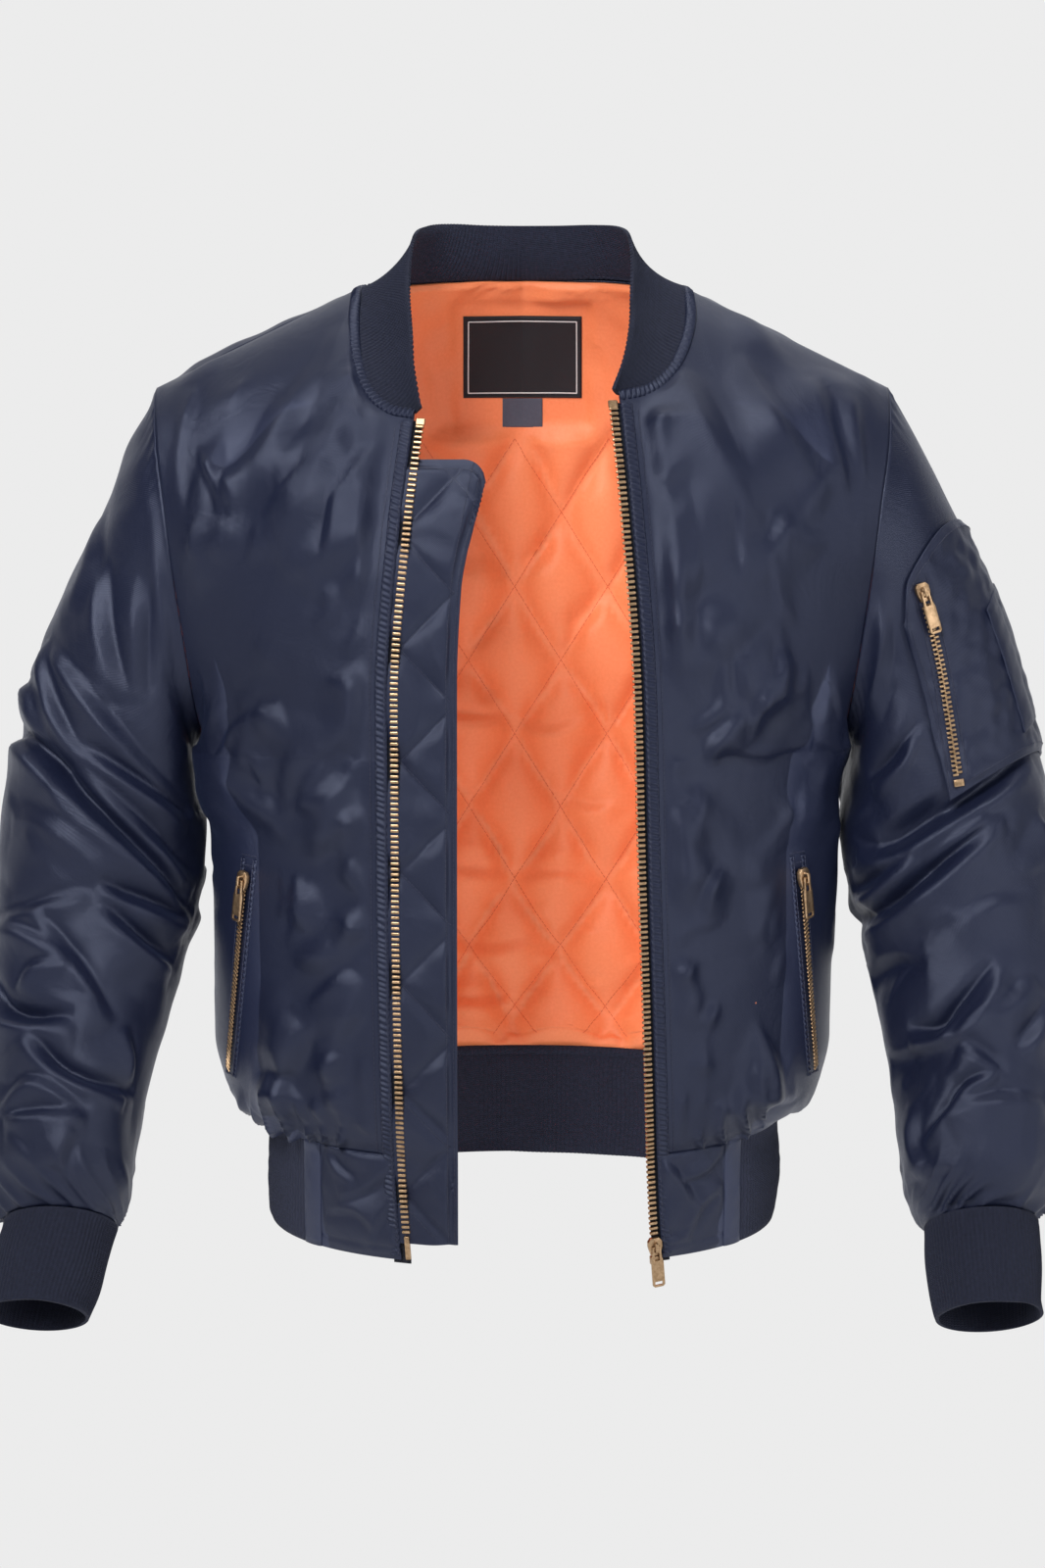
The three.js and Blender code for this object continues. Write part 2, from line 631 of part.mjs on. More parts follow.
// ---------- front zip ----------
const zipSteps = {
  right: edgeHeights("right", bandBottom + 18.6, -91),
  left: edgeHeights("left", bandBottom + 16.4, -79),
};
const zipPlace = (name, side) => (z, across, out) =>
  torsoPoint(-1, side * (read(zipLine[name], z, "x") + across), z, out);
for (const [name, side] of sides) {
  const place = zipPlace(name, side);
  const tapeSteps = edgeHeights(name, bandBottom - 3, zipSteps[name].at(-1) - 1);
  const inTape = (z, across, out) => place(z, across + 5, out);
  add(`zip_tape_${name}`, strip(tapeSteps, inTape, 6, -satin - 0.5 - tapeThick, -satin - 0.5), 0x1d2030, 0.9);
  add(`zip_teeth_${name}`, strip(zipSteps[name], place, 3, -satin - 0.1, 0.2), brass, 0.35, 0.9);
}

// ---------- sliders, pulls and other metal ----------
const metal = {
  bodyLong: 13,
  bodyWide: 10,
  bodyThick: 3.2,
  archLong: 7.4,
  archHigh: 3.8,
  archWide: 2.2,
  archSlot: 2.7,
  pullThick: 1.3,
  pullLong: 30,
  pullWide: 9,
};

function toSolid(geometry) {
  const plain = geometry.index ? geometry.clone() : geometry;
  plain.deleteAttribute("normal");
  plain.deleteAttribute("uv");
  const merged = mergeVertices(plain, 1e-4);
  return new wasm.Manifold(new wasm.Mesh({
    numProp: 3,
    vertProperties: new Float32Array(merged.attributes.position.array),
    triVerts: new Uint32Array(merged.index.array),
  }));
}

function fromSolid(solid) {
  const mesh = solid.getMesh();
  const geometry = new THREE.BufferGeometry();
  geometry.setAttribute("position", new THREE.BufferAttribute(mesh.vertProperties, 3));
  geometry.setIndex(new THREE.BufferAttribute(mesh.triVerts, 1));
  return geometry;
}

const polygon = (points) => new THREE.Shape(points.map(([x, y]) => new THREE.Vector2(x, y)));
const slab = (shape, thick) => new THREE.ExtrudeGeometry(shape, { depth: thick, bevelEnabled: false });

// Local axes: x across the zip, y up along it, z away from the cloth.
function sliderGeometry() {
  const { bodyLong, bodyWide, bodyThick, archLong, archHigh: high, archWide, archSlot: slot } = metal;
  const end = bodyLong / 2;
  const wide = bodyWide / 2;
  const body = slab(polygon([[-0.66 * wide, -end], [0.66 * wide, -end], [wide, 0], [wide, 0.6 * end],
    [0.6 * wide, end], [-0.6 * wide, end], [-wide, 0.6 * end], [-wide, 0]]), bodyThick);
  const foot = archLong / 2;
  const arch = slab(polygon([[-foot, -0.4], [1 - foot, -0.4], [1 - foot, slot - 0.5], [1.5 - foot, slot],
    [foot - 1.5, slot], [foot - 1, slot - 0.5], [foot - 1, -0.4], [foot, -0.4], [foot, high - 0.9],
    [foot - 0.9, high], [0.9 - foot, high], [-foot, high - 0.9]]), archWide);
  arch.rotateY(Math.PI / 2).rotateX(Math.PI / 2).translate(-archWide / 2, 0, bodyThick);
  return fromSolid(toSolid(body).add(toSolid(arch)));
}

const rectangle = (halfWidth, top, bottom) =>
  [[-halfWidth, top], [-halfWidth, bottom], [halfWidth, bottom], [halfWidth, top]];

// The pull turns about its top crossbar, which passes under the slider's arch.
function pullGeometry() {
  const half = metal.pullWide / 2;
  const barHalf = 0.7;
  const low = barHalf - metal.pullLong;
  const outline = polygon([[-3, barHalf], [-3.4, -7], [-half, -11], [-half, low + 1.4], [1.4 - half, low],
    [half - 1.4, low], [half, low + 1.4], [half, -11], [3.4, -7], [3, barHalf]]);
  const hole = (points) => new THREE.Path(points.map(([x, y]) => new THREE.Vector2(x, y)));
  outline.holes.push(hole(rectangle(1.8, -barHalf, -9.6)), hole(rectangle(half - 1.8, low + 4, low + 1.6)));
  return slab(outline, metal.pullThick).translate(0, 0, -metal.pullThick / 2);
}

// A frame at a spot on a surface: along points up the zip, out away from the cloth.
function stand(place, at, ahead, out) {
  const origin = place(at, 0, out);
  const along = place(ahead, 0, out).sub(origin).normalize();
  const outward = place(at, 0, out + 5).sub(origin).normalize();
  outward.addScaledVector(along, -outward.dot(along)).normalize();
  const across = along.clone().cross(outward);
  return new THREE.Matrix4().makeBasis(across, along, outward).setPosition(origin);
}

function addMetal(name, geometry, frame, shift = vec(0, 0, 0)) {
  const mesh = add(name, geometry, brass, 0.35, 0.9);
  frame.decompose(mesh.position, mesh.quaternion, mesh.scale);
  mesh.position.copy(shift.clone().applyMatrix4(frame));
  return mesh;
}

function addSlider(name, frame) {
  addMetal(`${name}_slider`, sliderGeometry(), frame);
  addMetal(`${name}_pull`, pullGeometry(), frame, vec(0, 0, metal.bodyThick + metal.archSlot / 2));
}

const leftZip = zipPlace("left", 1);
const rightZip = zipPlace("right", -1);
addSlider("front_zip", stand(leftZip, bandBottom + 9.4, bandBottom + 14.4, -1.4));
addMetal("zip_box", new THREE.BoxGeometry(8, 6, 4), stand(leftZip, bandBottom - 0.6, bandBottom + 4, 0.1));
addMetal("zip_pin", new THREE.BoxGeometry(3.6, 17, 3), stand(rightZip, bandBottom + 9.5, bandBottom + 15, -0.3));

// ---------- hand pockets ----------
const pocketHalf = 9;
const pocketBend = 155;
const weltWide = 5;
for (const [name, side] of sides) {
  const { topX, topZ, lowX, lowZ } = handPockets[name];
  const place = (t, across, out) => {
    const z = mix(topZ, lowZ, t);
    const half = read(sections, z, "half");
    const angle = Math.asin(mix(topX, lowX, t) / half) + across / pocketBend;
    return torsoPoint(-1, side * half * Math.sin(angle), z, out);
  };
  const frameAround = (t, across) => [
    place(t, across * pocketHalf, onTop), place(t, across * pocketHalf, onTop + 1.2),
    place(t, across * (pocketHalf - weltWide), onTop + 1.2), place(t, across * (pocketHalf - weltWide), onTop),
  ];
  const cornerAround = (t, shift, across) => [
    place(t + shift, across * pocketHalf, onTop), place(t + shift, across * pocketHalf, onTop + 1.2),
    place(t, across * (pocketHalf - weltWide), onTop + 1.2), place(t, across * (pocketHalf - weltWide), onTop),
  ];
  const endShift = 0.035;
  const along = spread(0, 1, 8).slice(1, -1);
  const welt = bar([
    cornerAround(-0.06, -endShift, -1), ...along.map((t) => frameAround(t, -1)), cornerAround(1, endShift, -1),
    cornerAround(1, endShift, 1), ...along.map((t) => frameAround(t, 1)).reverse(),
    cornerAround(-0.06, -endShift, 1),
  ], true);
  add(`pocket_welt_${name}`, welt, navy, 0.5);
  add(`pocket_teeth_${name}`, strip(spread(0.09, 0.97, 8), place, 2.8, onTop, onTop + 1.6), brass, 0.35, 0.9);
  addSlider(`pocket_${name}`, stand(place, 0.035, 0, onTop + 1.5));
}

// ---------- sleeve pocket on the wearer's left arm ----------
function sleevePoint(turn, down, out) {
  const rings = sleeveRings.left;
  const surface = (a, b) => {
    const k = Math.max(0, Math.min(rings.length - 2, Math.floor(b)));
    return ringPoint(rings[k], 1, a).lerp(ringPoint(rings[k + 1], 1, a), b - k);
  };
  const point = surface(turn, down);
  const round = surface(turn + 0.01, down).sub(surface(turn - 0.01, down));
  const along = surface(turn, down + 0.5).sub(surface(turn, down - 0.5));
  const normal = round.cross(along).normalize();
  const outward = Math.sign(normal.dot(point.clone().sub(ringPoint(rings[Math.round(down)], 1, turn + 0.5))));
  return point.addScaledVector(normal, outward * out);
}

const across = (pair, turn) => mix(pair[0], pair[1], (turn + 0.05) / 0.3);
const patch = sleevePocket.turns.map((turn) =>
  spread(across(sleevePocket.top, turn), across(sleevePocket.bottom, turn), 6)
    .map((down) => sleevePoint(turn, down, 0)));
const patchTop = sleevePocket.lift + satin;
const armMiddle = () => vec(290, 0, -290);
add("sleeve_pocket", wall(patch, normalsOf(patch, false, armMiddle), -patchTop, -sleevePocket.lift), navy, 0.5);

const pens = penStrip.turns.map((turn) => spread(penStrip.top, penStrip.bottom, 4)
  .map((down) => sleevePoint(turn, down, patchTop + 0.6)));
add("pen_strip", wall(pens, normalsOf(pens, false, armMiddle), -satin, 0), navy, 0.5);

const sleeveRound = 430;
const alongSleeveZip = (t, side, out) => sleevePoint(
  mix(sleeveZip.topTurn, sleeveZip.lowTurn, t) - side / sleeveRound,
  mix(sleeveZip.topDown, sleeveZip.lowDown, t), patchTop + 0.4 + out);
add("sleeve_teeth", strip(spread(0.1, 0.95, 8), alongSleeveZip, 3, 0, 1.6), brass, 0.35, 0.9);
addSlider("sleeve", stand(alongSleeveZip, 0.025, -0.01, 0.2));
addMetal("sleeve_stop", new THREE.BoxGeometry(7, 5, 2), stand(alongSleeveZip, 0.992, 0.95, 0.9));

export default jacket;
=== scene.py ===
# Navy flight jacket, worn open and hollow: satin shell, rib knit, orange quilting, brass zips.
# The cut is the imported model's own, in millimetres; +Z up, the wearer faces -Y.
import bpy
import bmesh
import math
import numpy as np
from mathutils import Matrix, Vector
from mathutils.bvhtree import BVHTree


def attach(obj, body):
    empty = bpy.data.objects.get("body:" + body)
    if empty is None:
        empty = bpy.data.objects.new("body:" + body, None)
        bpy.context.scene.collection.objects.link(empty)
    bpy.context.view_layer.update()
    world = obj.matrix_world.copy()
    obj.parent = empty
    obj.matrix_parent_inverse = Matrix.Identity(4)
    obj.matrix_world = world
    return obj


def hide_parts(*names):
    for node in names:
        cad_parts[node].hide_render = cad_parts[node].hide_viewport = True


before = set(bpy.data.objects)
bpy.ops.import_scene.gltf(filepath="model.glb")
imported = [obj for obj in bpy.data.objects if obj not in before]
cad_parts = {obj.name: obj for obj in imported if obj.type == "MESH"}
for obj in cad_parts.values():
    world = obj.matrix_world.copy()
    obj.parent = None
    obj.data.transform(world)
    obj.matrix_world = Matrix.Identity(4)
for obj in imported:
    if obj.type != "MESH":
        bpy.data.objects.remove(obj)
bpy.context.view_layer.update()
scene = bpy.context.scene
mm = 0.001
sideSigns = {"right": -1, "left": 1}

# ---- the cut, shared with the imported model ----
neckPoint = (116, -4)
shoulderTip = (256, -72)
underarm = (225, -320)
chestZ = -200
bandTop = -588
bandBottom = -664
panelEdge = 5
seamGap = 0.3
shellThick = 2.0
knitThick = 2.4
quiltThick = 2.6

# z, half width, depth in front, depth behind
sections = [
    (-664, 182, 118, 106), (-630, 185, 121, 108), (-600, 184, 122, 107), (-588, 187, 123, 108),
    (-578, 203, 125, 117), (-560, 215, 129, 124), (-530, 221, 133, 128), (-440, 221, 137, 128),
    (-350, 221, 137, 127), (-320, 225, 137, 126), (-300, 234.5, 137, 126), (-260, 255, 136, 125),
    (-200, 277, 134, 122), (-130, 301, 134, 122), (-72, 315, 134, 122), (60, 330, 134, 122),
]
armhole = [(-320, 225), (-260, 231), (-205, 238), (-150, 245), (-110, 252), (-72, 256)]
zipLine = {
    "right": [(-664, 79), (-593, 83.5), (-401, 86), (-282, 86), (-164, 77), (-88, 67.5)],
    "left": [(-664, 92.5), (-630, 90), (-503, 84.5), (-401, 80.5), (-270, 76.5), (-152, 67.5), (-76, 60)],
}
neckline = {
    "right": [(72.5, -88), (91, -84), (105, -71), (113, -50), (116, -25), neckPoint],
    "left": [(65, -76), (86, -71), (101, -59), (111, -41), (116, -22), neckPoint],
}
# the collar's free edge from the zip to the middle of the back: x, y, z
collarEdge = {
    "right": [(69, -102, -84), (73, -93, -62), (76, -78, -38), (78, -58, -12), (78, -33, 14),
              (76, -8, 33), (68, 20, 40), (50, 42, 42), (26, 55, 42), (0, 59, 42)],
    "left": [(62, -101, -72), (68, -93, -54), (72, -78, -32), (75, -58, -8), (76, -33, 16),
             (75, -8, 33), (68, 20, 40), (50, 42, 42), (26, 55, 42), (0, 59, 42)],
}
# rings down each arm: outer x, outer z, inner x, inner z, middle y, half depth, forward lean
sleeveRings = {
    "right": [
        (270, -102, 232, -325, 0, 72, 0), (288, -146, 231, -344, 0, 71, 0),
        (309, -190, 229, -363, -1, 70, 0),
        (331, -233, 227, -382, -3, 69, 1), (346, -276, 228, -404, -6, 69, 3),
        (357, -322, 230, -430, -11, 69, 6),
        (365, -370, 235, -456, -18, 69, 10), (370, -420, 243, -486, -29, 68, 14),
        (373, -470, 252, -518, -43, 67, 19), (376, -520, 261, -550, -60, 66, 24),
        (378, -566, 266, -582, -80, 64, 29), (378, -600, 269, -608, -97, 62, 33),
        (372, -624, 272, -628, -109, 56, 35), (362, -637, 277, -640, -115, 45, 35),
        (356, -642, 280, -644, -118, 38, 35),
    ],
    "left": [
        (276, -106, 232, -325, 0, 72, 0), (298, -148, 231, -344, 0, 71, 0),
        (319, -190, 229, -362, -1, 70, 0),
        (336, -232, 227, -380, -3, 69, 1), (350, -276, 229, -401, -6, 69, 3),
        (363, -322, 233, -425, -11, 69, 6),
        (374, -370, 240, -452, -18, 69, 10), (380, -420, 246, -482, -29, 68, 14),
        (383, -470, 251, -514, -43, 67, 19), (384, -520, 258, -546, -60, 66, 24),
        (383, -566, 263, -579, -80, 64, 29), (380, -600, 264, -606, -97, 62, 33),
        (371, -624, 267, -627, -109, 56, 35), (359, -637, 274, -640, -115, 45, 35),
        (354, -642, 278, -644, -118, 38, 35),
    ],
}
cuffEnds = {"right": (367, -695, 295, -697, -155, 36, 35), "left": (354, -696, 281, -698, -155, 36, 35)}
handPockets = {"right": (190, -404, 206, -548), "left": (191, -402, 205, -546)}
flapEdge = [(-664, 45), (-268, 44), (-205, 41), (-165, 34), (-117, 25)]


# ---- curves and noise ----
def mix(a, b, t):
    return a + (b - a) * t


def smoothStep(t):
    t = np.clip(t, 0, 1)
    return t * t * (3 - 2 * t)


def readTable(rows, z, column=1):
    heights = np.array([row[0] for row in rows], float)
    values = np.array([row[column] for row in rows], float)
    secant = np.diff(values) / np.diff(heights)
    slope = np.concatenate([secant[:1], np.zeros(len(rows) - 2), secant[-1:]])
    before, after = secant[:-1], secant[1:]
    same = before * after > 0
    slope[1:-1] = np.where(same, 2 * before * after / np.where(same, before + after, 1), 0)
    z = np.asarray(z, float)
    k = np.clip(np.searchsorted(heights, z, side="right") - 1, 0, len(rows) - 2)
    span = heights[k + 1] - heights[k]
    t = np.clip((z - heights[k]) / span, 0, 1)
    rise = values[k + 1] - values[k]
    start, end = slope[k] * span, slope[k + 1] * span
    return values[k] + start * t + (3 * rise - 2 * start - end) * t ** 2 + (start + end - 2 * rise) * t ** 3


def throughPoints(knots, points, at):
    # cubic curve through points (first axis) at uneven knots
    knots = np.asarray(knots, float)
    points = np.asarray(points, float)
    wide = (-1,) + (1,) * (points.ndim - 1)
    gap = np.diff(knots).reshape(wide)
    secant = np.diff(points, axis=0) / gap
    tangent = np.empty_like(points)
    tangent[0], tangent[-1] = secant[0], secant[-1]
    tangent[1:-1] = (secant[:-1] * gap[1:] + secant[1:] * gap[:-1]) / (gap[1:] + gap[:-1])
    at = np.asarray(at, float)
    k = np.clip(np.searchsorted(knots, at, side="right") - 1, 0, len(knots) - 2)
    span = (knots[k + 1] - knots[k]).reshape(wide)
    t = ((at - knots[k]) / (knots[k + 1] - knots[k])).reshape(wide)
    return ((2 * t ** 3 - 3 * t ** 2 + 1) * points[k] + (t ** 3 - 2 * t ** 2 + t) * span * tangent[k]
            + (3 * t ** 2 - 2 * t ** 3) * points[k + 1] + (t ** 3 - t ** 2) * span * tangent[k + 1])


def ripple(points, size, seed, waves=14):
    # smooth unevenness about `size` mm across, between -1 and 1 or so
    rng = np.random.default_rng(seed)
    direction = rng.normal(size=(waves, 3))
    direction /= np.linalg.norm(direction, axis=1)[:, None]
    pitch = 2 * np.pi / (size * rng.uniform(0.7, 1.8, waves))
    phase = rng.uniform(0, 2 * np.pi, waves)
    total = np.zeros(points.shape[:-1])
    for k in range(waves):
        total += np.sin(points @ (direction[k] * pitch[k]) + phase[k])
    return total / math.sqrt(waves)


def arcAlong(points, axis):
    step = np.linalg.norm(np.diff(points, axis=axis), axis=-1)
    start = np.zeros_like(np.take(step, [0], axis=axis))
    return np.cumsum(np.concatenate([start, step], axis=axis), axis=axis)


def unitNormals(normals):
    return normals / np.maximum(np.linalg.norm(normals, axis=-1, keepdims=True), 1e-9)


def raised(points, normals, height):
    return points + normals * height[..., None]


def lifted(spot, out, up=1.0):
    # a path at height `out` over a surface, and the directions that stand up from it
    path = spot(out)
    return path, unitNormals(spot(out + up) - path)


def gridNormals(points, inside, wrap=False):
    if wrap:
        ring = points[:, :-1]
        across = (np.roll(ring, -1, 1) - np.roll(ring, 1, 1)) / 2
        across = np.concatenate([across, across[:, :1]], 1)
    else:
        across = np.gradient(points, axis=1)
    normals = unitNormals(np.cross(across, np.gradient(points, axis=0)))
    facing = np.sign((normals * (points - inside)).sum())
    return normals * facing, facing


# ---- the torso's surface ----
def closing(t, power):
    return np.maximum(0, 1 - np.minimum(1, t) ** power) ** (1 / power)


def shoulderHeight(x):
    slope = (shoulderTip[1] - neckPoint[1]) / (shoulderTip[0] - neckPoint[0])
    return neckPoint[1] + (np.abs(x) - neckPoint[0]) * slope


def depth(face, x, z):
    across = closing(np.abs(x) / readTable(sections, z, 1), 2.2)
    rise = np.maximum(0, z - chestZ) / (shoulderHeight(x) - chestZ)
    return readTable(sections, z, 2 if face < 0 else 3) * across * closing(rise, 1.6 if face < 0 else 2)


def torsoPoint(face, x, z, out=0.0):
    x, z = np.broadcast_arrays(np.asarray(x, float), np.asarray(z, float))
    step = 0.5
    slopeX = (depth(face, x + step, z) - depth(face, x - step, z)) / (2 * step)
    slopeZ = (depth(face, x, z + step) - depth(face, x, z - step)) / (2 * step)
    normal = np.stack([-slopeX, np.full_like(slopeX, face), -slopeZ], -1)
    normal /= np.linalg.norm(normal, axis=-1, keepdims=True)
    y = face * depth(face, x, z)
    point = np.stack([x, y, z], -1) + normal * np.asarray(out, float)[..., None]
    drop = smoothStep((-450 - z) / 138) * point[..., 1]
    point[..., 2] += np.where(point[..., 1] < 0, 0.07, 0.13) * drop
    return point


def halfGrid(face, side, innerEdge, topLine, shares, lowerZ, upperW):
    share = shares[None, :]

    def atHeight(z):
        half = readTable(sections, z, 1)
        return half * np.sin(mix(np.arcsin(innerEdge(z) / half), math.pi / 2, share))

    lowZ = lowerZ[:, None] + 0 * share
    low = torsoPoint(face, side * atHeight(lowZ), lowZ)
    topX, topZ = topLine(shares)
    w = upperW[:, None]
    innerZ = mix(underarm[1], topZ[0], w)
    outerZ = mix(underarm[1], shoulderTip[1], w)
    straight = mix(mix(innerEdge(underarm[1]), topX[0], w), mix(underarm[0], shoulderTip[0], w), share)
    edges = mix(innerEdge(innerZ), readTable(armhole, outerZ), share)
    x = mix(atHeight(np.full((1, 1), underarm[1])), topX[None, :], w) + edges - straight
    z = (mix(underarm[1], topZ[None, :], w) + mix(innerZ, outerZ, share)
         - mix(underarm[1], mix(topZ[0], shoulderTip[1], share), w))
    y = face * depth(face, x, z)
    y = np.where((share < 1) & (z > shoulderHeight(x) - 0.01), 0, y)
    high = np.stack([side * x, y, z], -1)
    return np.concatenate([low, high], 0)


def topOfPanel(knots, neckShare):
    # neckline by a smooth curve, then the straight shoulder seam
    table = np.array(knots, float)

    def line(shares):
        atNeck = np.clip(shares / neckShare, 0, 1) * (len(table) - 1)
        curve = throughPoints(np.arange(len(table)), table, atNeck)
        beyond = np.clip((shares - neckShare) / (1 - neckShare), 0, 1)[:, None]
        shoulder = mix(np.array(neckPoint, float), np.array(shoulderTip, float), beyond)
        both = np.where(shares[:, None] <= neckShare, curve, shoulder)
        return both[:, 0], both[:, 1]
    return line


def ringPoints(ring, side, turn):
    outX, outZ, inX, inZ, y, deep, lean = ring
    angle = turn * 2 * math.pi
    lean = math.radians(lean)
    across = np.cos(angle) / 2
    forward = deep * np.sin(angle)
    return np.stack([side * ((outX + inX) / 2 + (outX - inX) * across), y - forward * math.cos(lean),
                     (outZ + inZ) / 2 + (outZ - inZ) * across + forward * math.sin(lean)], -1)


# ---- meshes ----
def linkPiece(name, bm, material, smooth=True):
    mesh = bpy.data.meshes.new(name)
    bm.to_mesh(mesh)
    bm.free()
    mesh.materials.append(material)
    mesh.polygons.foreach_set("use_smooth", [smooth] * len(mesh.polygons))
    piece = bpy.data.objects.new(name, mesh)
    scene.collection.objects.link(piece)
    return piece


def clothPiece(name, points, facing, material, thick, wrap):
    # a bmesh grid laid over a rows x columns array of points, with a wall inwards
    rows, columns = points.shape[:2]
    uv = np.stack([arcAlong(points, 1).mean(0)[None, :] + np.zeros((rows, 1)),
                   arcAlong(points, 0).mean(1)[:, None] + np.zeros((1, columns))], -1) * mm
    bm = bmesh.new()
    layer = bm.loops.layers.uv.new("cloth")
    bmesh.ops.create_grid(bm, x_segments=columns - 1, y_segments=rows - 1, size=1)
    if facing < 0:
        bmesh.ops.reverse_faces(bm, faces=bm.faces)
    column = [round((vert.co.x + 1) / 2 * (columns - 1)) for vert in bm.verts]
    row = [round((vert.co.y + 1) / 2 * (rows - 1)) for vert in bm.verts]
    bm.verts.index_update()
    uvList = uv.tolist()
    for face in bm.faces:
        for loop in face.loops:
            k = loop.vert.index
            loop[layer].uv = uvList[row[k]][column[k]]
    placed = (points * mm).tolist()
    for vert, r, c in zip(bm.verts, row, column):
        vert.co = placed[r][c]
    if wrap:
        bmesh.ops.remove_doubles(bm, verts=bm.verts, dist=1e-7)
    piece = linkPiece(name, bm, material)
    wall = piece.modifiers.new("wall", "SOLIDIFY")
    wall.thickness = thick * mm
    wall.offset = -1
    return piece


def roundRim(piece, width):
    edge = piece.modifiers.new("rim", "BEVEL")
    edge.width = width * mm
    edge.segments = 2
    edge.limit_method = "ANGLE"
    edge.angle_limit = math.radians(62)


def dress(piece, slotName, *nodes, body="jacket"):
    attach(piece, body)
    if nodes:
        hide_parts(*nodes)
    return piece


# a flat size is never under the least width that counts, nor its area under this share of it
leastSheet = {"wide": 10.5, "share": 0.31}


def declareSheet(points, held, fullness):
    across = arcAlong(points, 1)[:, -1]
    down = arcAlong(points, 0)[-1]
    corner = np.cross(points[1:, :-1] - points[:-1, :-1], points[:-1, 1:] - points[:-1, :-1])
    area = np.linalg.norm(corner, axis=-1).sum() * mm * mm * fullness
    width, length = [max(leastSheet["wide"], math.ceil(reach.max())) * mm for reach in (across, down)]
    area = float(min(max(area, leastSheet["share"] * width * length), width * length))


def sew(name, base, shaped, facing, slotName, *nodes, thick=shellThick, held="hung", fullness=1.0,
        wrap=False, rim=0):
    # one cloth piece: its shell and its place among the parts; its flat size is worked out but not kept
    piece = clothPiece(name, shaped, facing, looks[slotName], thick, wrap)
    if rim:
        roundRim(piece, rim)
    dress(piece, slotName, *nodes)
    declareSheet(base, held, fullness)
    return piece


# ---- creases: paths on the cloth with a crest and a trough beside it ----
def pathOn(surface, knots, samples=14):
    knots = np.array(knots, float)
    along = np.linspace(0, len(knots) - 1, samples)
    spots = throughPoints(np.arange(len(knots)), knots, along)
    return surface(spots[:, 0], spots[:, 1])


def tent(q):
    return np.exp(-(np.sqrt(q * q + 0.05) - 0.22))


def addCrease(height, points, normals, path, width, rise, lip):
    reach = width * 5
    near = ((points > path.min(0) - reach) & (points < path.max(0) + reach)).all(-1)
    spots = points[near]
    if len(spots) == 0:
        return
    best = np.full(len(spots), 1e9)
    signed = np.zeros(len(spots))
    share = np.zeros(len(spots))
    count = len(path) - 1
    for k in range(count):
        step = path[k + 1] - path[k]
        t = np.clip(((spots - path[k]) @ step) / max(step @ step, 1e-9), 0, 1)
        away = spots - (path[k] + t[:, None] * step)
        gap = np.linalg.norm(away, axis=-1)
        closer = gap < best
        side = np.sign((np.cross(step, normals[near]) * away).sum(-1))
        best = np.where(closer, gap, best)
        signed = np.where(closer, gap * side, signed)
        share = np.where(closer, (k + t) / count, share)
    q = signed / width
    crest = np.where(q > 0, tent(q / 1.7), tent(q))
    trough = tent((q + 1.25) / 0.7)
    height[near] += rise * np.sin(np.pi * np.clip(share, 0.0, 1)) ** 0.7 * (crest - lip * trough)


def smallCreases(height, points, normals, surface, box, count, seed, length, rise, tilt=0.0):
    # seeded small wrinkles; box is the range of the surface's two coordinates
    rng = np.random.default_rng(seed)
    (a0, a1), (b0, b1), (perA, perB) = box
    for _ in range(count):
        a, b = rng.uniform(a0, a1), rng.uniform(b0, b1)
        angle = rng.normal(tilt, 0.6)
        long = rng.uniform(*length)
        da, db = math.cos(angle) * long / perA, math.sin(angle) * long / perB
        bend = rng.normal(0, 0.12)
        knots = [(a - da / 2, b - db / 2), (a + bend * db * perB / perA, b - bend * da * perA / perB),
                 (a + da / 2, b + db / 2)]
        path = pathOn(surface, knots, 8)
        addCrease(height, points, normals, path, rng.uniform(3.5, 8), rng.uniform(*rise),
                  rng.uniform(0.2, 0.9))


def edgeFade(points, reach=(14, 14, 14, 14), wrap=False):
    # 0 at the panel's edges, 1 beyond reach: left, right, bottom, top
    across, down = arcAlong(points, 1), arcAlong(points, 0)
    fade = smoothStep(down / reach[2]) * smoothStep((down[-1:] - down) / reach[3])
    if not wrap:
        fade = fade * smoothStep(across / reach[0]) * smoothStep((across[:, -1:] - across) / reach[1])
    return fade


print("helpers ready")


# ---- shader groups ----
def newGroup(name, inputs, outputs):
    group = bpy.data.node_groups.new(name, "ShaderNodeTree")
    for label, kind, value in inputs:
        socket = group.interface.new_socket(label, in_out="INPUT", socket_type=kind)
        if value is not None:
            socket.default_value = value
    for label, kind in outputs:
        group.interface.new_socket(label, in_out="OUTPUT", socket_type=kind)
    return group, group.nodes.new("NodeGroupInput"), group.nodes.new("NodeGroupOutput")


def mathNode(nodes, links, operation, a, b=None):
    node = nodes.new("ShaderNodeMath")
    node.operation = operation
    for socket, value in zip(node.inputs, (a, b)):
        if value is None:
            continue
        if isinstance(value, (int, float)):
            socket.default_value = value
        else:
            links.new(value, socket)
    return node.outputs[0]


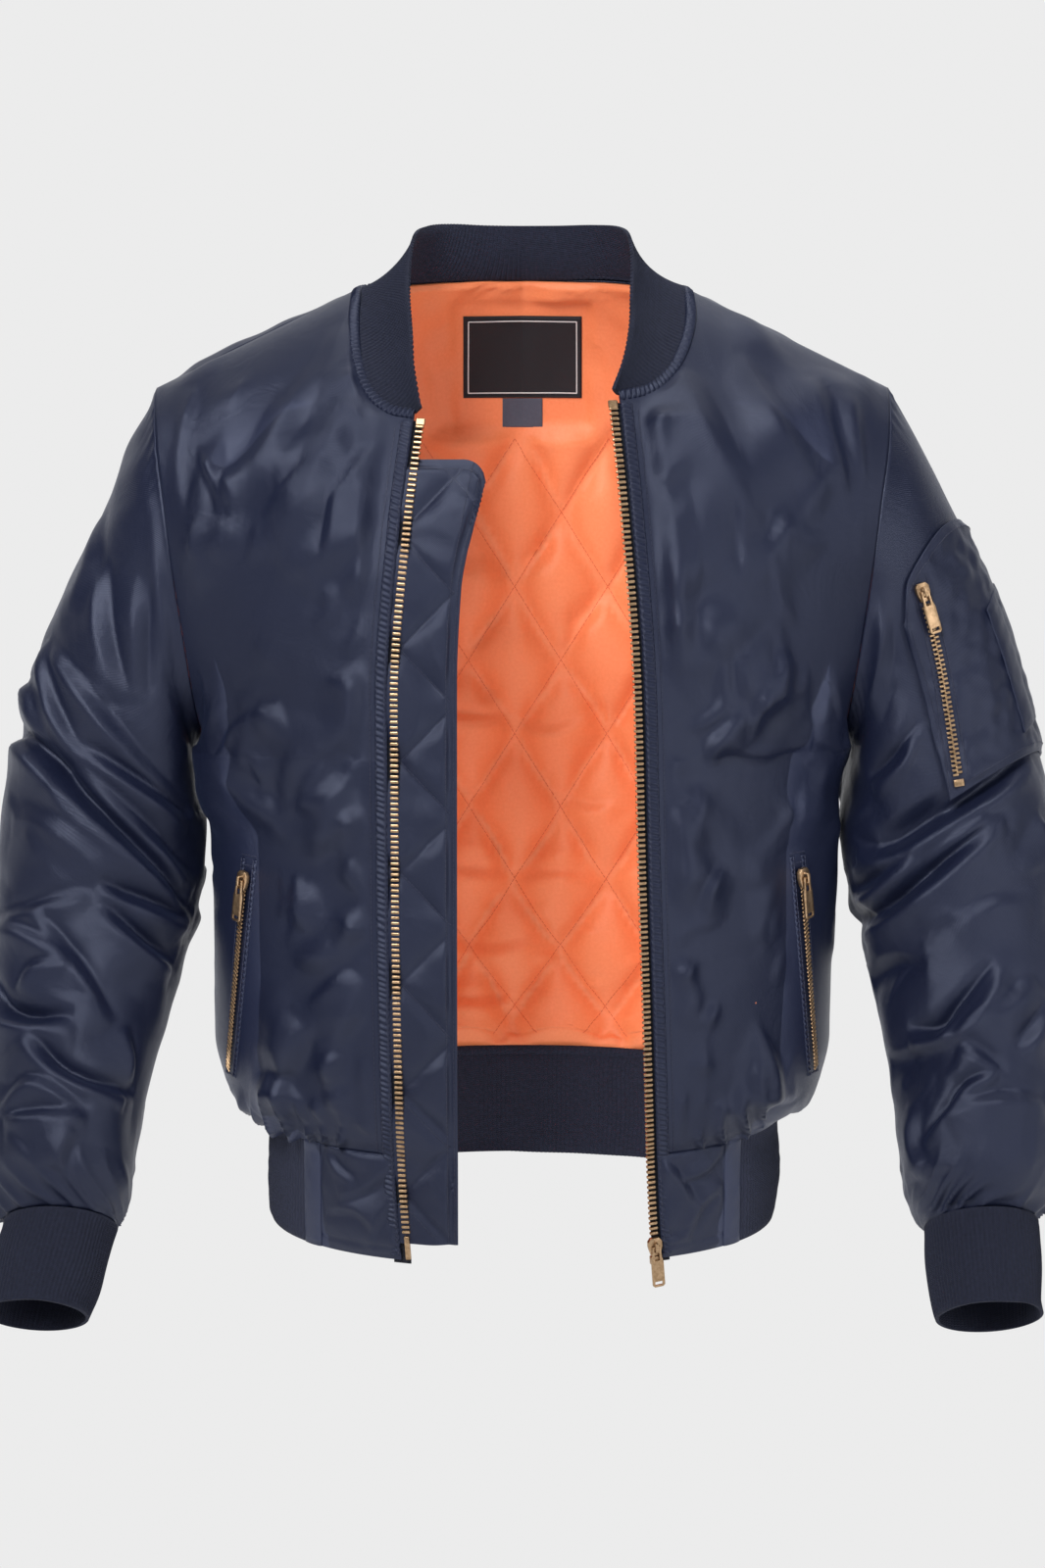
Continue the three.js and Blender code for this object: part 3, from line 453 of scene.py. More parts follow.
def makeTwillGroup():
    # fine diagonal weave on the cloth's own flat coordinates, in metres
    group, source, sink = newGroup(
        "twill weave",
        [("Vector", "NodeSocketVector", None), ("Pitch", "NodeSocketFloat", 0.0011),
         ("Slant", "NodeSocketFloat", 1.0)],
        [("Height", "NodeSocketFloat"), ("Slub", "NodeSocketFloat")])
    nodes, links = group.nodes, group.links
    split = nodes.new("ShaderNodeSeparateXYZ")
    links.new(source.outputs["Vector"], split.inputs[0])
    lean = mathNode(nodes, links, "MULTIPLY", split.outputs[0], source.outputs["Slant"])
    diagonal = mathNode(nodes, links, "ADD", lean, split.outputs[1])
    turns = mathNode(nodes, links, "DIVIDE", diagonal, source.outputs["Pitch"])
    wave = mathNode(nodes, links, "SINE", mathNode(nodes, links, "MULTIPLY", turns, 2 * math.pi))
    weft = mathNode(nodes, links, "DIVIDE", split.outputs[0], source.outputs["Pitch"])
    cross = mathNode(nodes, links, "SINE", mathNode(nodes, links, "MULTIPLY", weft, 4.4 * math.pi))
    links.new(mathNode(nodes, links, "ADD", wave, mathNode(nodes, links, "MULTIPLY", cross, 0.4)),
              sink.inputs["Height"])
    noise = nodes.new("ShaderNodeTexNoise")
    noise.inputs["Scale"].default_value = 420
    noise.inputs["Detail"].default_value = 3
    links.new(source.outputs["Vector"], noise.inputs["Vector"])
    links.new(noise.outputs["Fac"], sink.inputs["Slub"])
    return group


def makeCrumpleGroup():
    # small soft unevenness of pressed nylon
    group, source, sink = newGroup(
        "crumple", [("Vector", "NodeSocketVector", None), ("Size", "NodeSocketFloat", 30.0)],
        [("Height", "NodeSocketFloat"), ("Patch", "NodeSocketFloat")])
    nodes, links = group.nodes, group.links
    fine = nodes.new("ShaderNodeTexNoise")
    fine.inputs["Detail"].default_value = 5
    fine.inputs["Roughness"].default_value = 0.55
    fine.inputs["Distortion"].default_value = 0.6
    broad = nodes.new("ShaderNodeTexNoise")
    broad.inputs["Detail"].default_value = 2
    links.new(source.outputs["Vector"], fine.inputs["Vector"])
    links.new(source.outputs["Vector"], broad.inputs["Vector"])
    links.new(source.outputs["Size"], fine.inputs["Scale"])
    links.new(mathNode(nodes, links, "MULTIPLY", source.outputs["Size"], 0.3), broad.inputs["Scale"])
    links.new(fine.outputs["Fac"], sink.inputs["Height"])
    links.new(broad.outputs["Fac"], sink.inputs["Patch"])
    return group


twillGroup = makeTwillGroup()
crumpleGroup = makeCrumpleGroup()


def startMaterial(name):
    material = bpy.data.materials.new(name)
    material.use_nodes = True
    nodes, links = material.node_tree.nodes, material.node_tree.links
    shader = nodes["Principled BSDF"]
    return material, nodes, links, shader


def blendColours(nodes, links, mask, low, high):
    ramp = nodes.new("ShaderNodeValToRGB")
    ramp.color_ramp.elements[0].position = 0.3
    ramp.color_ramp.elements[1].position = 0.7
    ramp.color_ramp.elements[0].color = (*low, 1)
    ramp.color_ramp.elements[1].color = (*high, 1)
    links.new(mask, ramp.inputs["Fac"])
    return ramp.outputs["Color"]


def addBump(nodes, links, height, distance, strength=1.0, after=None):
    bump = nodes.new("ShaderNodeBump")
    bump.inputs["Strength"].default_value = strength
    bump.inputs["Distance"].default_value = distance
    links.new(height, bump.inputs["Height"])
    if after:
        links.new(after, bump.inputs["Normal"])
    return bump.outputs["Normal"]


def nylon(name, low, high, rough, sheen, sheenTint, weaveDepth=0.00006, crumpleDepth=0.0006, size=26.0):
    material, nodes, links, shader = startMaterial(name)
    place = nodes.new("ShaderNodeTexCoord")
    twill = nodes.new("ShaderNodeGroup")
    twill.node_tree = twillGroup
    crumple = nodes.new("ShaderNodeGroup")
    crumple.node_tree = crumpleGroup
    crumple.inputs["Size"].default_value = size
    links.new(place.outputs["UV"], twill.inputs["Vector"])
    links.new(place.outputs["Object"], crumple.inputs["Vector"])
    mask = mathNode(nodes, links, "ADD", mathNode(nodes, links, "MULTIPLY", twill.outputs["Slub"], 0.45),
                    mathNode(nodes, links, "MULTIPLY", crumple.outputs["Patch"], 0.55))
    links.new(blendColours(nodes, links, mask, low, high), shader.inputs["Base Color"])
    slub = mathNode(nodes, links, "MULTIPLY", twill.outputs["Slub"], 0.14)
    links.new(mathNode(nodes, links, "ADD", slub, rough - 0.07), shader.inputs["Roughness"])
    broad = addBump(nodes, links, crumple.outputs["Height"], crumpleDepth)
    fine = addBump(nodes, links, twill.outputs["Height"], weaveDepth, after=broad)
    links.new(fine, shader.inputs["Normal"])
    shader.inputs["Sheen Weight"].default_value = sheen
    shader.inputs["Sheen Roughness"].default_value = 0.45
    shader.inputs["Sheen Tint"].default_value = (*sheenTint, 1)
    shader.inputs["Specular IOR Level"].default_value = 0.60
    shader.inputs["Specular Tint"].default_value = (*[0.5 + 0.5 * c for c in sheenTint], 1)
    return material


def knitMaterial(name, low, high):
    material, nodes, links, shader = startMaterial(name)
    place = nodes.new("ShaderNodeTexCoord")
    stitch = nodes.new("ShaderNodeGroup")
    stitch.node_tree = twillGroup
    stitch.inputs["Pitch"].default_value = 0.0016
    links.new(place.outputs["UV"], stitch.inputs["Vector"])
    links.new(blendColours(nodes, links, stitch.outputs["Slub"], low, high), shader.inputs["Base Color"])
    links.new(addBump(nodes, links, stitch.outputs["Height"], 0.00018), shader.inputs["Normal"])
    slub = mathNode(nodes, links, "MULTIPLY", stitch.outputs["Slub"], 0.1)
    links.new(mathNode(nodes, links, "ADD", slub, 0.8), shader.inputs["Roughness"])
    shader.inputs["Sheen Weight"].default_value = 0.06
    shader.inputs["Sheen Roughness"].default_value = 0.5
    shader.inputs["Sheen Tint"].default_value = (0.35, 0.4, 0.6, 1)
    shader.inputs["Specular IOR Level"].default_value = 0.3
    return material


def metalMaterial(name, low, high, rough):
    material, nodes, links, shader = startMaterial(name)
    place = nodes.new("ShaderNodeTexCoord")
    wear = nodes.new("ShaderNodeGroup")
    wear.node_tree = crumpleGroup
    wear.inputs["Size"].default_value = 380
    links.new(place.outputs["Object"], wear.inputs["Vector"])
    links.new(blendColours(nodes, links, wear.outputs["Height"], low, high), shader.inputs["Base Color"])
    patches = mathNode(nodes, links, "MULTIPLY", wear.outputs["Patch"], 0.25)
    links.new(mathNode(nodes, links, "ADD", patches, rough - 0.12), shader.inputs["Roughness"])
    links.new(addBump(nodes, links, wear.outputs["Height"], 0.00008), shader.inputs["Normal"])
    shader.inputs["Metallic"].default_value = 1.0
    return material


satin = nylon("navy satin", (0.0056, 0.0076, 0.0225), (0.0092, 0.0124, 0.0335), 0.39, 0.04, (0.35, 0.48, 0.95),
              weaveDepth=0.00004, crumpleDepth=0.0012, size=24.0)
lining = nylon("orange lining", (0.90, 0.23, 0.085), (1.0, 0.30, 0.125), 0.40, 0.12, (1, 0.6, 0.4),
               weaveDepth=0.00003, crumpleDepth=0.0012, size=34.0)
rib = knitMaterial("navy rib knit", (0.0095, 0.0115, 0.025), (0.0180, 0.0215, 0.044))
labelCloth = nylon("black label weave", (0.006, 0.006, 0.008), (0.014, 0.014, 0.018), 0.6, 0.1,
                   (0.5, 0.5, 0.6), weaveDepth=0.00008, crumpleDepth=0.0004)
labelLine = nylon("label woven line", (0.55, 0.55, 0.55), (0.75, 0.75, 0.75), 0.6, 0.1, (1, 1, 1))
tabCloth = nylon("slate size tab", (0.060, 0.068, 0.098), (0.085, 0.095, 0.130), 0.6, 0.15, (0.6, 0.6, 0.8))
tapeCloth = knitMaterial("zip tape", (0.008, 0.009, 0.014), (0.016, 0.018, 0.028))
thread = nylon("navy thread", (0.010, 0.012, 0.025), (0.030, 0.036, 0.066), 0.5, 0.2, (0.5, 0.5, 0.8))
orangeThread = nylon("orange thread", (0.62, 0.11, 0.04), (0.80, 0.17, 0.06), 0.5, 0.2, (1, 0.6, 0.4))
brass = metalMaterial("antique brass", (0.33, 0.21, 0.115), (0.58, 0.40, 0.245), 0.42)
looks = {"satin": satin, "rib": rib, "lining": lining, "label": labelCloth, "size_tab": tabCloth,
         "zip_tape": tapeCloth, "brass": brass}
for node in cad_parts.values():
    node.data.materials.clear()
    node.data.materials.append(satin)
print("materials ready")

# ---- fronts and back ----
frontCells = {"neck": 40, "shoulder": 56, "lower": 96, "upper": 74, "neckShare": 5 / 9}
backCells = {"neck": 44, "shoulder": 36, "lower": 84, "upper": 74, "neckShare": 0.5}


def spreadShares(cells):
    left = np.linspace(0, cells["neckShare"], cells["neck"] + 1)
    right = np.linspace(cells["neckShare"], 1, cells["shoulder"] + 1)[1:]
    return np.concatenate([left, right])


def panelRows(cells):
    # closer rows where the body blouses over the band
    t = np.linspace(0, 1, cells["lower"] + 1)
    lowerZ = mix(bandTop, underarm[1], 0.55 * t + 0.45 * t * t)
    k = np.linspace(0, 1, cells["upper"] + 1)[1:]
    return lowerZ, (1 - np.cos(np.pi * k)) / 2


def zipX(name, z):
    return readTable(zipLine[name], z)


def neckRow(grids, row, side):
    # one row of the panels from a zip round the neck to the middle of the back
    front = grids["front_right" if side < 0 else "front_left"][row, :frontCells["neck"] + 1]
    back = grids["back"][row]
    middle = len(back) // 2
    rear = back[middle - backCells["neck"]:middle + 1]
    if side > 0:
        rear = back[middle:middle + backCells["neck"] + 1][::-1]
    return front, rear


torsoCore = np.array([0.0, 0.0, -300.0])
lowerZ, upperW = panelRows(frontCells)
base = {}
for name, side in sideSigns.items():
    top = topOfPanel(neckline[name], frontCells["neckShare"])
    base["front_" + name] = halfGrid(-1, side, lambda z, n=name: zipX(n, z) + panelEdge, top,
                                     spreadShares(frontCells), lowerZ, upperW)
backNeckline = [(neckPoint[0] * math.sin(k / 4 * 1.25) / math.sin(1.25),
                 mix(5, neckPoint[1], (k / 4) ** 2.2)) for k in range(5)]
backLower, backUpper = panelRows(backCells)
backHalf = halfGrid(1, 1, lambda z: 0 * np.asarray(z, float), topOfPanel(backNeckline, backCells["neckShare"]),
                    spreadShares(backCells), backLower, backUpper)
mirrored = backHalf[:, ::-1] * np.array([-1, 1, 1])
base["back"] = np.concatenate([mirrored[:, :-1], backHalf], 1)

# creases, listed one by one: knots (x, z), width, rise, trough beside it
frontCreases = {
    "right": [
        ([(-112, -60), (-132, -120), (-168, -190)], 13, 2.6, 0.4),
        ([(-140, -52), (-170, -110), (-205, -150)], 12, 2.4, 0.3),
        ([(-190, -62), (-205, -110), (-226, -160)], 9, 2.4, 0.6),
        ([(-226, -72), (-234, -110), (-236, -160)], 7, 2.6, 0.8),
        ([(-100, -110), (-108, -170), (-104, -240)], 11, 2.4, 0.5),
        ([(-96, -250), (-122, -300), (-160, -330)], 14, 3.0, 0.4),
        ([(-110, -320), (-135, -372), (-150, -440)], 13, 2.8, 0.5),
        ([(-96, -400), (-120, -440), (-165, -470)], 12, 2.6, 0.4),
        ([(-215, -300), (-190, -345), (-150, -380)], 12, 2.4, 0.4),
        ([(-105, -470), (-130, -520), (-128, -570)], 12, 3.6, 0.6),
        ([(-150, -500), (-165, -540), (-160, -578)], 10, 3.6, 0.7),
        ([(-92, -520), (-104, -552), (-100, -580)], 8, 3.2, 0.8),
        ([(-190, -560), (-170, -548), (-140, -560)], 9, 3.2, 0.6),
        ([(-214, -520), (-205, -552), (-196, -575)], 9, 3.0, 0.6),
    ],
    "left": [
        ([(104, -60), (128, -118), (160, -170)], 13, 2.6, 0.4),
        ([(150, -50), (172, -104), (205, -158)], 12, 2.4, 0.4),
        ([(196, -66), (212, -118), (228, -170)], 9, 2.6, 0.6),
        ([(224, -80), (232, -128), (232, -190)], 8, 2.8, 0.7),
        ([(92, -120), (104, -190), (96, -262)], 12, 2.4, 0.5),
        ([(180, -250), (150, -290), (112, -318)], 14, 2.8, 0.4),
        ([(196, -312), (165, -318), (130, -306)], 9, 3.4, 0.6),
        ([(90, -330), (112, -380), (140, -430)], 13, 2.8, 0.5),
        ([(212, -360), (180, -400), (160, -455)], 13, 2.6, 0.4),
        ([(96, -440), (122, -490), (124, -560)], 12, 3.4, 0.6),
        ([(150, -480), (170, -530), (166, -574)], 10, 3.6, 0.7),
        ([(98, -520), (106, -555), (100, -580)], 8, 3.2, 0.8),
        ([(205, -545), (180, -556), (150, -548)], 9, 3.2, 0.6),
    ],
}
backCreases = [
    ([(-150, -60), (-60, -95), (60, -88), (150, -62)], 18, 3.0, 0.3),
    ([(-215, -100), (-170, -180), (-90, -230)], 16, 3.4, 0.4),
    ([(215, -110), (160, -190), (80, -250)], 16, 3.4, 0.4),
    ([(-225, -260), (-150, -300), (-40, -310)], 15, 3.6, 0.5),
    ([(225, -250), (140, -310), (20, -330)], 15, 3.4, 0.5),
    ([(-205, -380), (-120, -420), (-20, -400)], 16, 3.2, 0.4),
    ([(205, -400), (110, -450), (10, -430)], 16, 3.4, 0.4),
    ([(-180, -480), (-140, -530), (-150, -575)], 12, 4.0, 0.6),
    ([(-70, -470), (-60, -530), (-80, -578)], 12, 4.0, 0.6),
    ([(50, -480), (30, -530), (48, -580)], 12, 4.0, 0.6),
    ([(150, -490), (135, -540), (160, -578)], 12, 4.0, 0.6),
]


def gathers(points, pitch, reach, rise, seed, axis=0, fromEnd=False):
    # pleats drawn up by a tight seam, dying away over `reach`
    along = arcAlong(points, 1 - axis)
    away = arcAlong(points, axis)
    if fromEnd:
        away = (away[-1:] if axis == 0 else away[:, -1:]) - away
    wander = ripple(points * [1, 1, 0.4], 45, seed) * 2.2
    phase = 2 * np.pi * along / pitch + wander
    uneven = 0.65 + 0.5 * ripple(points, 60, seed + 1)
    pleat = 1 - np.abs(np.sin(phase / 2)) * 2
    return rise * uneven * pleat * np.exp(-away / reach) * smoothStep(away / 3.0)


# how far the listed creases stand, in front and behind
liftOf = {-1: 2.6, 1: 2.1}
zipMargin = {"flat": 12, "fade": 14}
pocketMargin = {"flat": 9, "fade": 30}


def overLining(height):
    # troughs stay shallow, so that the shell never sinks into its lining
    return np.where(height < 0.6, 0.6 + 0.9 * np.tanh((height - 0.6) / 2.2), height)


def clearOfPocket(points):
    # 0 beside a hand pocket's slit, 1 away from it
    name = "right" if points[..., 0].mean() < 0 else "left"
    topX, topZ, lowX, lowZ = handPockets[name]
    start, step = np.array([topX, topZ]), np.array([lowX - topX, lowZ - topZ])
    away = np.stack([np.abs(points[..., 0]), points[..., 2]], -1) - start
    t = np.clip((away @ step) / (step @ step), -0.06, 1.02)
    gap = np.linalg.norm(away - t[..., None] * step, axis=-1)
    return smoothStep((gap - pocketMargin["flat"]) / pocketMargin["fade"])


def shapePanel(key, face, creases, seed):
    points = base[key]
    normals, facing = gridNormals(points, torsoCore)
    height = np.zeros(points.shape[:2])
    surface = lambda a, b: torsoPoint(face, a, b)
    for knots, width, rise, lip in creases:
        addCrease(height, points, normals, pathOn(surface, knots), width, rise, lip)
    xs = points[..., 0]
    box = ((xs.min() + 20, xs.max() - 20), (-560, -130), (1, 1))
    smallCreases(height, points, normals, surface, box, 62 if face < 0 else 70, seed, (18, 58), (0.7, 2.0),
                 1.2)
    height += 2.0 * ripple(points, 120, seed + 2) + 0.7 * ripple(points, 40, seed + 3)
    height += gathers(points, 17, 24, 3.2, seed + 4)
    if face < 0:
        height += gathers(points, 34, 34, 1.5, seed + 6, axis=1)
    height = overLining(height * liftOf[face] + 1.4)
    height *= edgeFade(points, (16 if face < 0 else 34, 34, 7, 14))
    if face < 0:
        fromZip = arcAlong(points, 1)
        height *= smoothStep((fromZip - zipMargin["flat"]) / zipMargin["fade"]) * clearOfPocket(points)
    return points, raised(points, normals, height), facing


panels = {}
shells = {}
for name, side in sideSigns.items():
    key = "front_" + name
    points, panels[key], facing = shapePanel(key, -1, frontCreases[name], 11 if side < 0 else 23)
    shells[name] = sew(key + "_shell", points, panels[key], facing, "satin", key)
points, panels["back"], facing = shapePanel("back", 1, backCreases, 37)
sew("back_shell", points, panels["back"], facing, "satin", "back")
print("fronts and back ready")

# ---- sleeves ----
sleeveCells = {"around": 176, "along": 196}
# knots (turn round the arm, ring down it), width, rise, trough
sleeveCreases = {
    "right": [
        ([(0.17, -0.8), (0.24, -0.4), (0.33, 0.1)], 9, 3.0, 0.6),
        ([(0.20, 0.6), (0.23, 1.3), (0.26, 2.1)], 8, 3.2, 0.9),
        ([(0.10, 1.6), (0.17, 2.2), (0.23, 2.6)], 10, 4.2, 0.8),
        ([(0.02, 1.4), (0.08, 1.9), (0.10, 2.6)], 12, 3.2, 0.5),
        ([(0.06, 3.3), (0.12, 3.8), (0.20, 4.3)], 7, 5.0, 0.6),
        ([(0.06, 3.3), (0.22, 3.2), (0.40, 3.1)], 8, 5.0, 0.4),
        ([(0.19, 4.2), (0.30, 3.7), (0.42, 3.3)], 7, 4.6, 1.2),
        ([(0.19, 4.5), (0.33, 4.6), (0.47, 4.9)], 9, 6.0, 0.7),
        ([(0.00, 5.2), (0.09, 4.9), (0.21, 5.0), (0.35, 5.3), (0.48, 5.9)], 8, 7.0, 1.5),
        ([(0.03, 4.6), (0.07, 4.1), (0.15, 4.7)], 7, 3.8, 0.6),
        ([(0.10, 5.9), (0.20, 5.7), (0.28, 5.9)], 10, 3.2, 0.3),
        ([(0.27, 6.3), (0.36, 6.1), (0.46, 6.0)], 7, 5.0, 1.2),
        ([(0.27, 6.6), (0.36, 6.9), (0.45, 7.0)], 7, 5.4, 1.1),
        ([(0.08, 7.6), (0.17, 7.2), (0.27, 6.4)], 7, 4.2, 0.6),
        ([(0.17, 7.2), (0.23, 7.6), (0.27, 7.9), (0.34, 8.6)], 7, 4.6, 0.7),
        ([(0.08, 7.7), (0.16, 7.6), (0.25, 7.8)], 7, 3.4, 0.6),
        ([(0.17, 8.5), (0.19, 8.1), (0.25, 7.8)], 6, 3.4, 0.6),
        ([(0.06, 8.4), (0.12, 8.9), (0.20, 9.0), (0.28, 8.8)], 7, 6.4, 1.4),
        ([(0.19, 9.2), (0.25, 9.7), (0.33, 9.9), (0.44, 9.8)], 7, 5.6, 1.2),
        ([(0.36, 8.5), (0.39, 9.0), (0.41, 9.6)], 7, 3.8, 0.5),
        ([(0.15, 10.6), (0.22, 10.0), (0.32, 10.6)], 7, 4.0, 0.6),
        ([(0.16, 10.8), (0.24, 10.7), (0.33, 10.6)], 6, 3.6, 0.7),
        ([(0.30, 10.8), (0.28, 11.4), (0.27, 12.0)], 7, 3.2, 0.5),
    ],
    "left": [
        ([(0.26, -0.6), (0.31, 0.0), (0.36, 0.6)], 8, 3.6, 0.8),
        ([(0.22, -0.5), (0.26, 0.2), (0.30, 1.0)], 12, 2.8, 0.5),
        ([(0.25, 1.6), (0.30, 2.2), (0.27, 3.0)], 12, 3.0, 0.5),
        ([(0.37, 2.7), (0.31, 3.0), (0.25, 2.9)], 7, 5.0, 0.9),
        ([(0.44, 4.0), (0.37, 4.8), (0.28, 5.0), (0.16, 5.2), (0.08, 5.1)], 8, 6.6, 0.9),
        ([(0.38, 4.2), (0.26, 4.5), (0.10, 4.6)], 8, -5.0, 0.3),
        ([(0.48, 5.4), (0.40, 5.4), (0.31, 5.3)], 7, 5.0, 1.0),
        ([(0.48, 6.2), (0.38, 6.2), (0.27, 5.9), (0.18, 5.7)], 8, 6.4, 1.3),
        ([(0.31, 5.5), (0.22, 5.4), (0.18, 5.7)], 6, 3.6, 0.6),
        ([(0.51, 7.3), (0.42, 7.1), (0.34, 7.4)], 7, -5.4, 0.2),
        ([(0.54, 5.9), (0.48, 5.8), (0.43, 5.7)], 6, -5.0, 0.1),
        ([(0.41, 8.7), (0.34, 8.9), (0.28, 8.5), (0.22, 8.0)], 7, 5.8, 1.2),
        ([(0.31, 9.1), (0.27, 8.7), (0.22, 8.2)], 6, 4.0, 0.8),
        ([(0.49, 9.0), (0.40, 9.1), (0.31, 9.2)], 7, -4.6, 0.4),
        ([(0.31, 9.2), (0.28, 9.5), (0.25, 9.9)], 7, 4.2, 0.7),
        ([(0.40, 11.0), (0.34, 10.5), (0.30, 10.0), (0.25, 9.9)], 6, 4.8, 0.9),
        ([(0.34, 10.6), (0.26, 10.4), (0.15, 10.5)], 8, 3.2, 0.6),
        ([(0.20, 9.5), (0.17, 9.2), (0.13, 8.8)], 7, 4.0, 0.8),
        ([(0.12, 5.9), (0.08, 6.4), (0.06, 7.1)], 7, 4.2, 0.7),
        ([(0.29, 7.0), (0.22, 6.9), (0.15, 7.2)], 8, 2.4, 0.4),
        ([(0.25, 8.9), (0.20, 8.6), (0.16, 8.3)], 9, 3.0, 0.7),
        ([(0.42, 9.9), (0.44, 10.8), (0.42, 11.6)], 8, 3.2, 0.5),
    ],
}
behindCreases = [
    ([(0.58, 0.2), (0.66, 1.0), (0.80, 1.6)], 12, 3.6, 0.5),
    ([(0.55, 2.6), (0.68, 2.9), (0.84, 2.2)], 12, 4.4, 0.6),
    ([(0.53, 4.4), (0.66, 4.8), (0.82, 4.4), (0.95, 4.9)], 10, 5.6, 0.9),
    ([(0.52, 5.6), (0.64, 6.0), (0.79, 5.7)], 9, 5.6, 1.0),
    ([(0.56, 7.0), (0.70, 6.8), (0.88, 7.2)], 10, 5.0, 0.8),
    ([(0.60, 8.2), (0.72, 8.8), (0.90, 8.5)], 9, 5.0, 0.9),
    ([(0.54, 9.5), (0.70, 9.9), (0.86, 9.4), (0.97, 9.8)], 9, 4.6, 0.8),
    ([(0.62, 10.6), (0.76, 10.9), (0.90, 10.5)], 9, 3.8, 0.7),
    ([(0.66, 3.4), (0.74, 3.8), (0.78, 4.4)], 9, 3.6, 0.6),
    ([(0.80, 6.0), (0.86, 6.5), (0.92, 7.2)], 9, 3.8, 0.6),
]


def sleeveBase(name, side):
    turn = np.linspace(0, 1, sleeveCells["around"] + 1)
    angle = turn * 2 * math.pi
    z = mix(underarm[1], shoulderTip[1], (1 + np.cos(angle)) / 2)
    x = readTable(armhole, z)
    face = np.where(np.sin(angle) > 0, -1, 1)
    y = np.where(face < 0, -depth(-1, x, z), depth(1, x, z))
    y = np.where(np.abs(np.sin(angle)) < 1e-9, 0, y)
    stations = [np.stack([side * (x + seamGap), y, z], -1)]
    stations += [ringPoints(ring, side, turn) for ring in sleeveRings[name]]
    stations = np.array(stations)
    gaps = np.linalg.norm(np.diff(stations, axis=0), axis=-1).mean(1)
    knots = np.concatenate([[0], np.cumsum(gaps)])
    rows = np.linspace(0, knots[-1], sleeveCells["along"] + 1)
    rings = np.interp(rows, knots, np.arange(-1, len(knots) - 1))
    return throughPoints(knots, stations, rows), rings


def sampleGrid(points, rings):
    # a surface by turn and ring, read between the grid's points
    rows, columns = points.shape[:2]

    def surface(turn, ring):
        c = (np.asarray(turn) % 1) * (columns - 1)
        r = np.interp(ring, rings, np.arange(rows))
        c0 = np.clip(c.astype(int), 0, columns - 2)
        r0 = np.clip(r.astype(int), 0, rows - 2)
        s, t = (c - c0)[:, None], (r - r0)[:, None]
        above = mix(points[r0, c0], points[r0, c0 + 1], s)
        below = mix(points[r0 + 1, c0], points[r0 + 1, c0 + 1], s)
        return mix(above, below, t)
    return surface


foldDepth = 1.8
# mm round the arm in one turn, and mm from ring to ring
arm = {"girth": 430, "ringStep": 46}
# the stretch under the sleeve pocket stays smooth: turns and ring where it ends
smoothArm = {"front": 0.29, "behind": 0.9, "ring": 4.9}
sleeveSurface = {}
for name, side in sideSigns.items():
    points, rings = sleeveBase(name, side)
    core = points[:, :-1].mean(1, keepdims=True)
    normals, facing = gridNormals(points, core, wrap=True)
    height = np.zeros(points.shape[:2])
    surface = sampleGrid(points, rings)
    for knots, width, rise, lip in sleeveCreases[name] + behindCreases:
        addCrease(height, points, normals, pathOn(surface, knots), width, rise * foldDepth, lip)
    box = ((0, 1), (2.5, 11.8), (arm["girth"], arm["ringStep"]))
    smallCreases(height, points, normals, surface, box, 70, 51 if side < 0 else 63, (18, 52), (0.6, 2.0),
                 0.4)
    height += 1.6 * ripple(points, 90, 71) + 0.6 * ripple(points, 34, 72)
    if side > 0:
        turns = np.linspace(0, 1, points.shape[1])[None, :]
        across = np.maximum(smoothStep((smoothArm["front"] - turns) / 0.05),
                            smoothStep((turns - smoothArm["behind"]) / 0.04))
        height *= 1 - 0.9 * across * smoothStep((smoothArm["ring"] - rings[:, None]) / 0.5)
    height += gathers(points, 19, 17, 4.2, 81, fromEnd=True)
    height *= edgeFade(points, (1, 1, 20, 2.5), wrap=True)
    height += gathers(points, 11, 9, 1.1, 83) * smoothStep(arcAlong(points, 0) / 2.5)
    # folds stay low along the inner line, where the sleeve meets the body
    inner = smoothStep((0.10 - np.abs(np.linspace(0, 1, points.shape[1]) - 0.5)) / 0.06)
    bound = np.where(inner[None, :] * (rings[:, None] < 4.5) > 0.3, 1.0, 12.0)
    height = np.minimum(height, bound)
    height[:, -1] = height[:, 0]
    sleeveSurface[name] = (points, rings, normals)
    sew("sleeve_" + name + "_shell", points, raised(points, normals, height), facing, "satin",
        "sleeve_" + name, wrap=True)
print("sleeves ready")

# ---- rib knit: collar, cuffs and waistband ----
ribs = {"pitch": 3.3, "deep": 0.36, "perRib": 6, "round": 76}
knitLook = {"thick": knitThick, "rim": 0.8}


def ribHeight(ribsAlong):
    return ribs["deep"] * np.cos(2 * np.pi * ribsAlong)


def evenly(points, axis, count):
    # the same curves with points at even steps
    points = np.moveaxis(points, axis, 0)
    arc = arcAlong(points, 0).reshape(len(points), -1).mean(1)
    spaced = throughPoints(arc, points, np.linspace(0, arc[-1], count))
    return np.moveaxis(spaced, 0, axis)


collarCut = {"bow": 8, "rise": 0.7, "rows": 16}


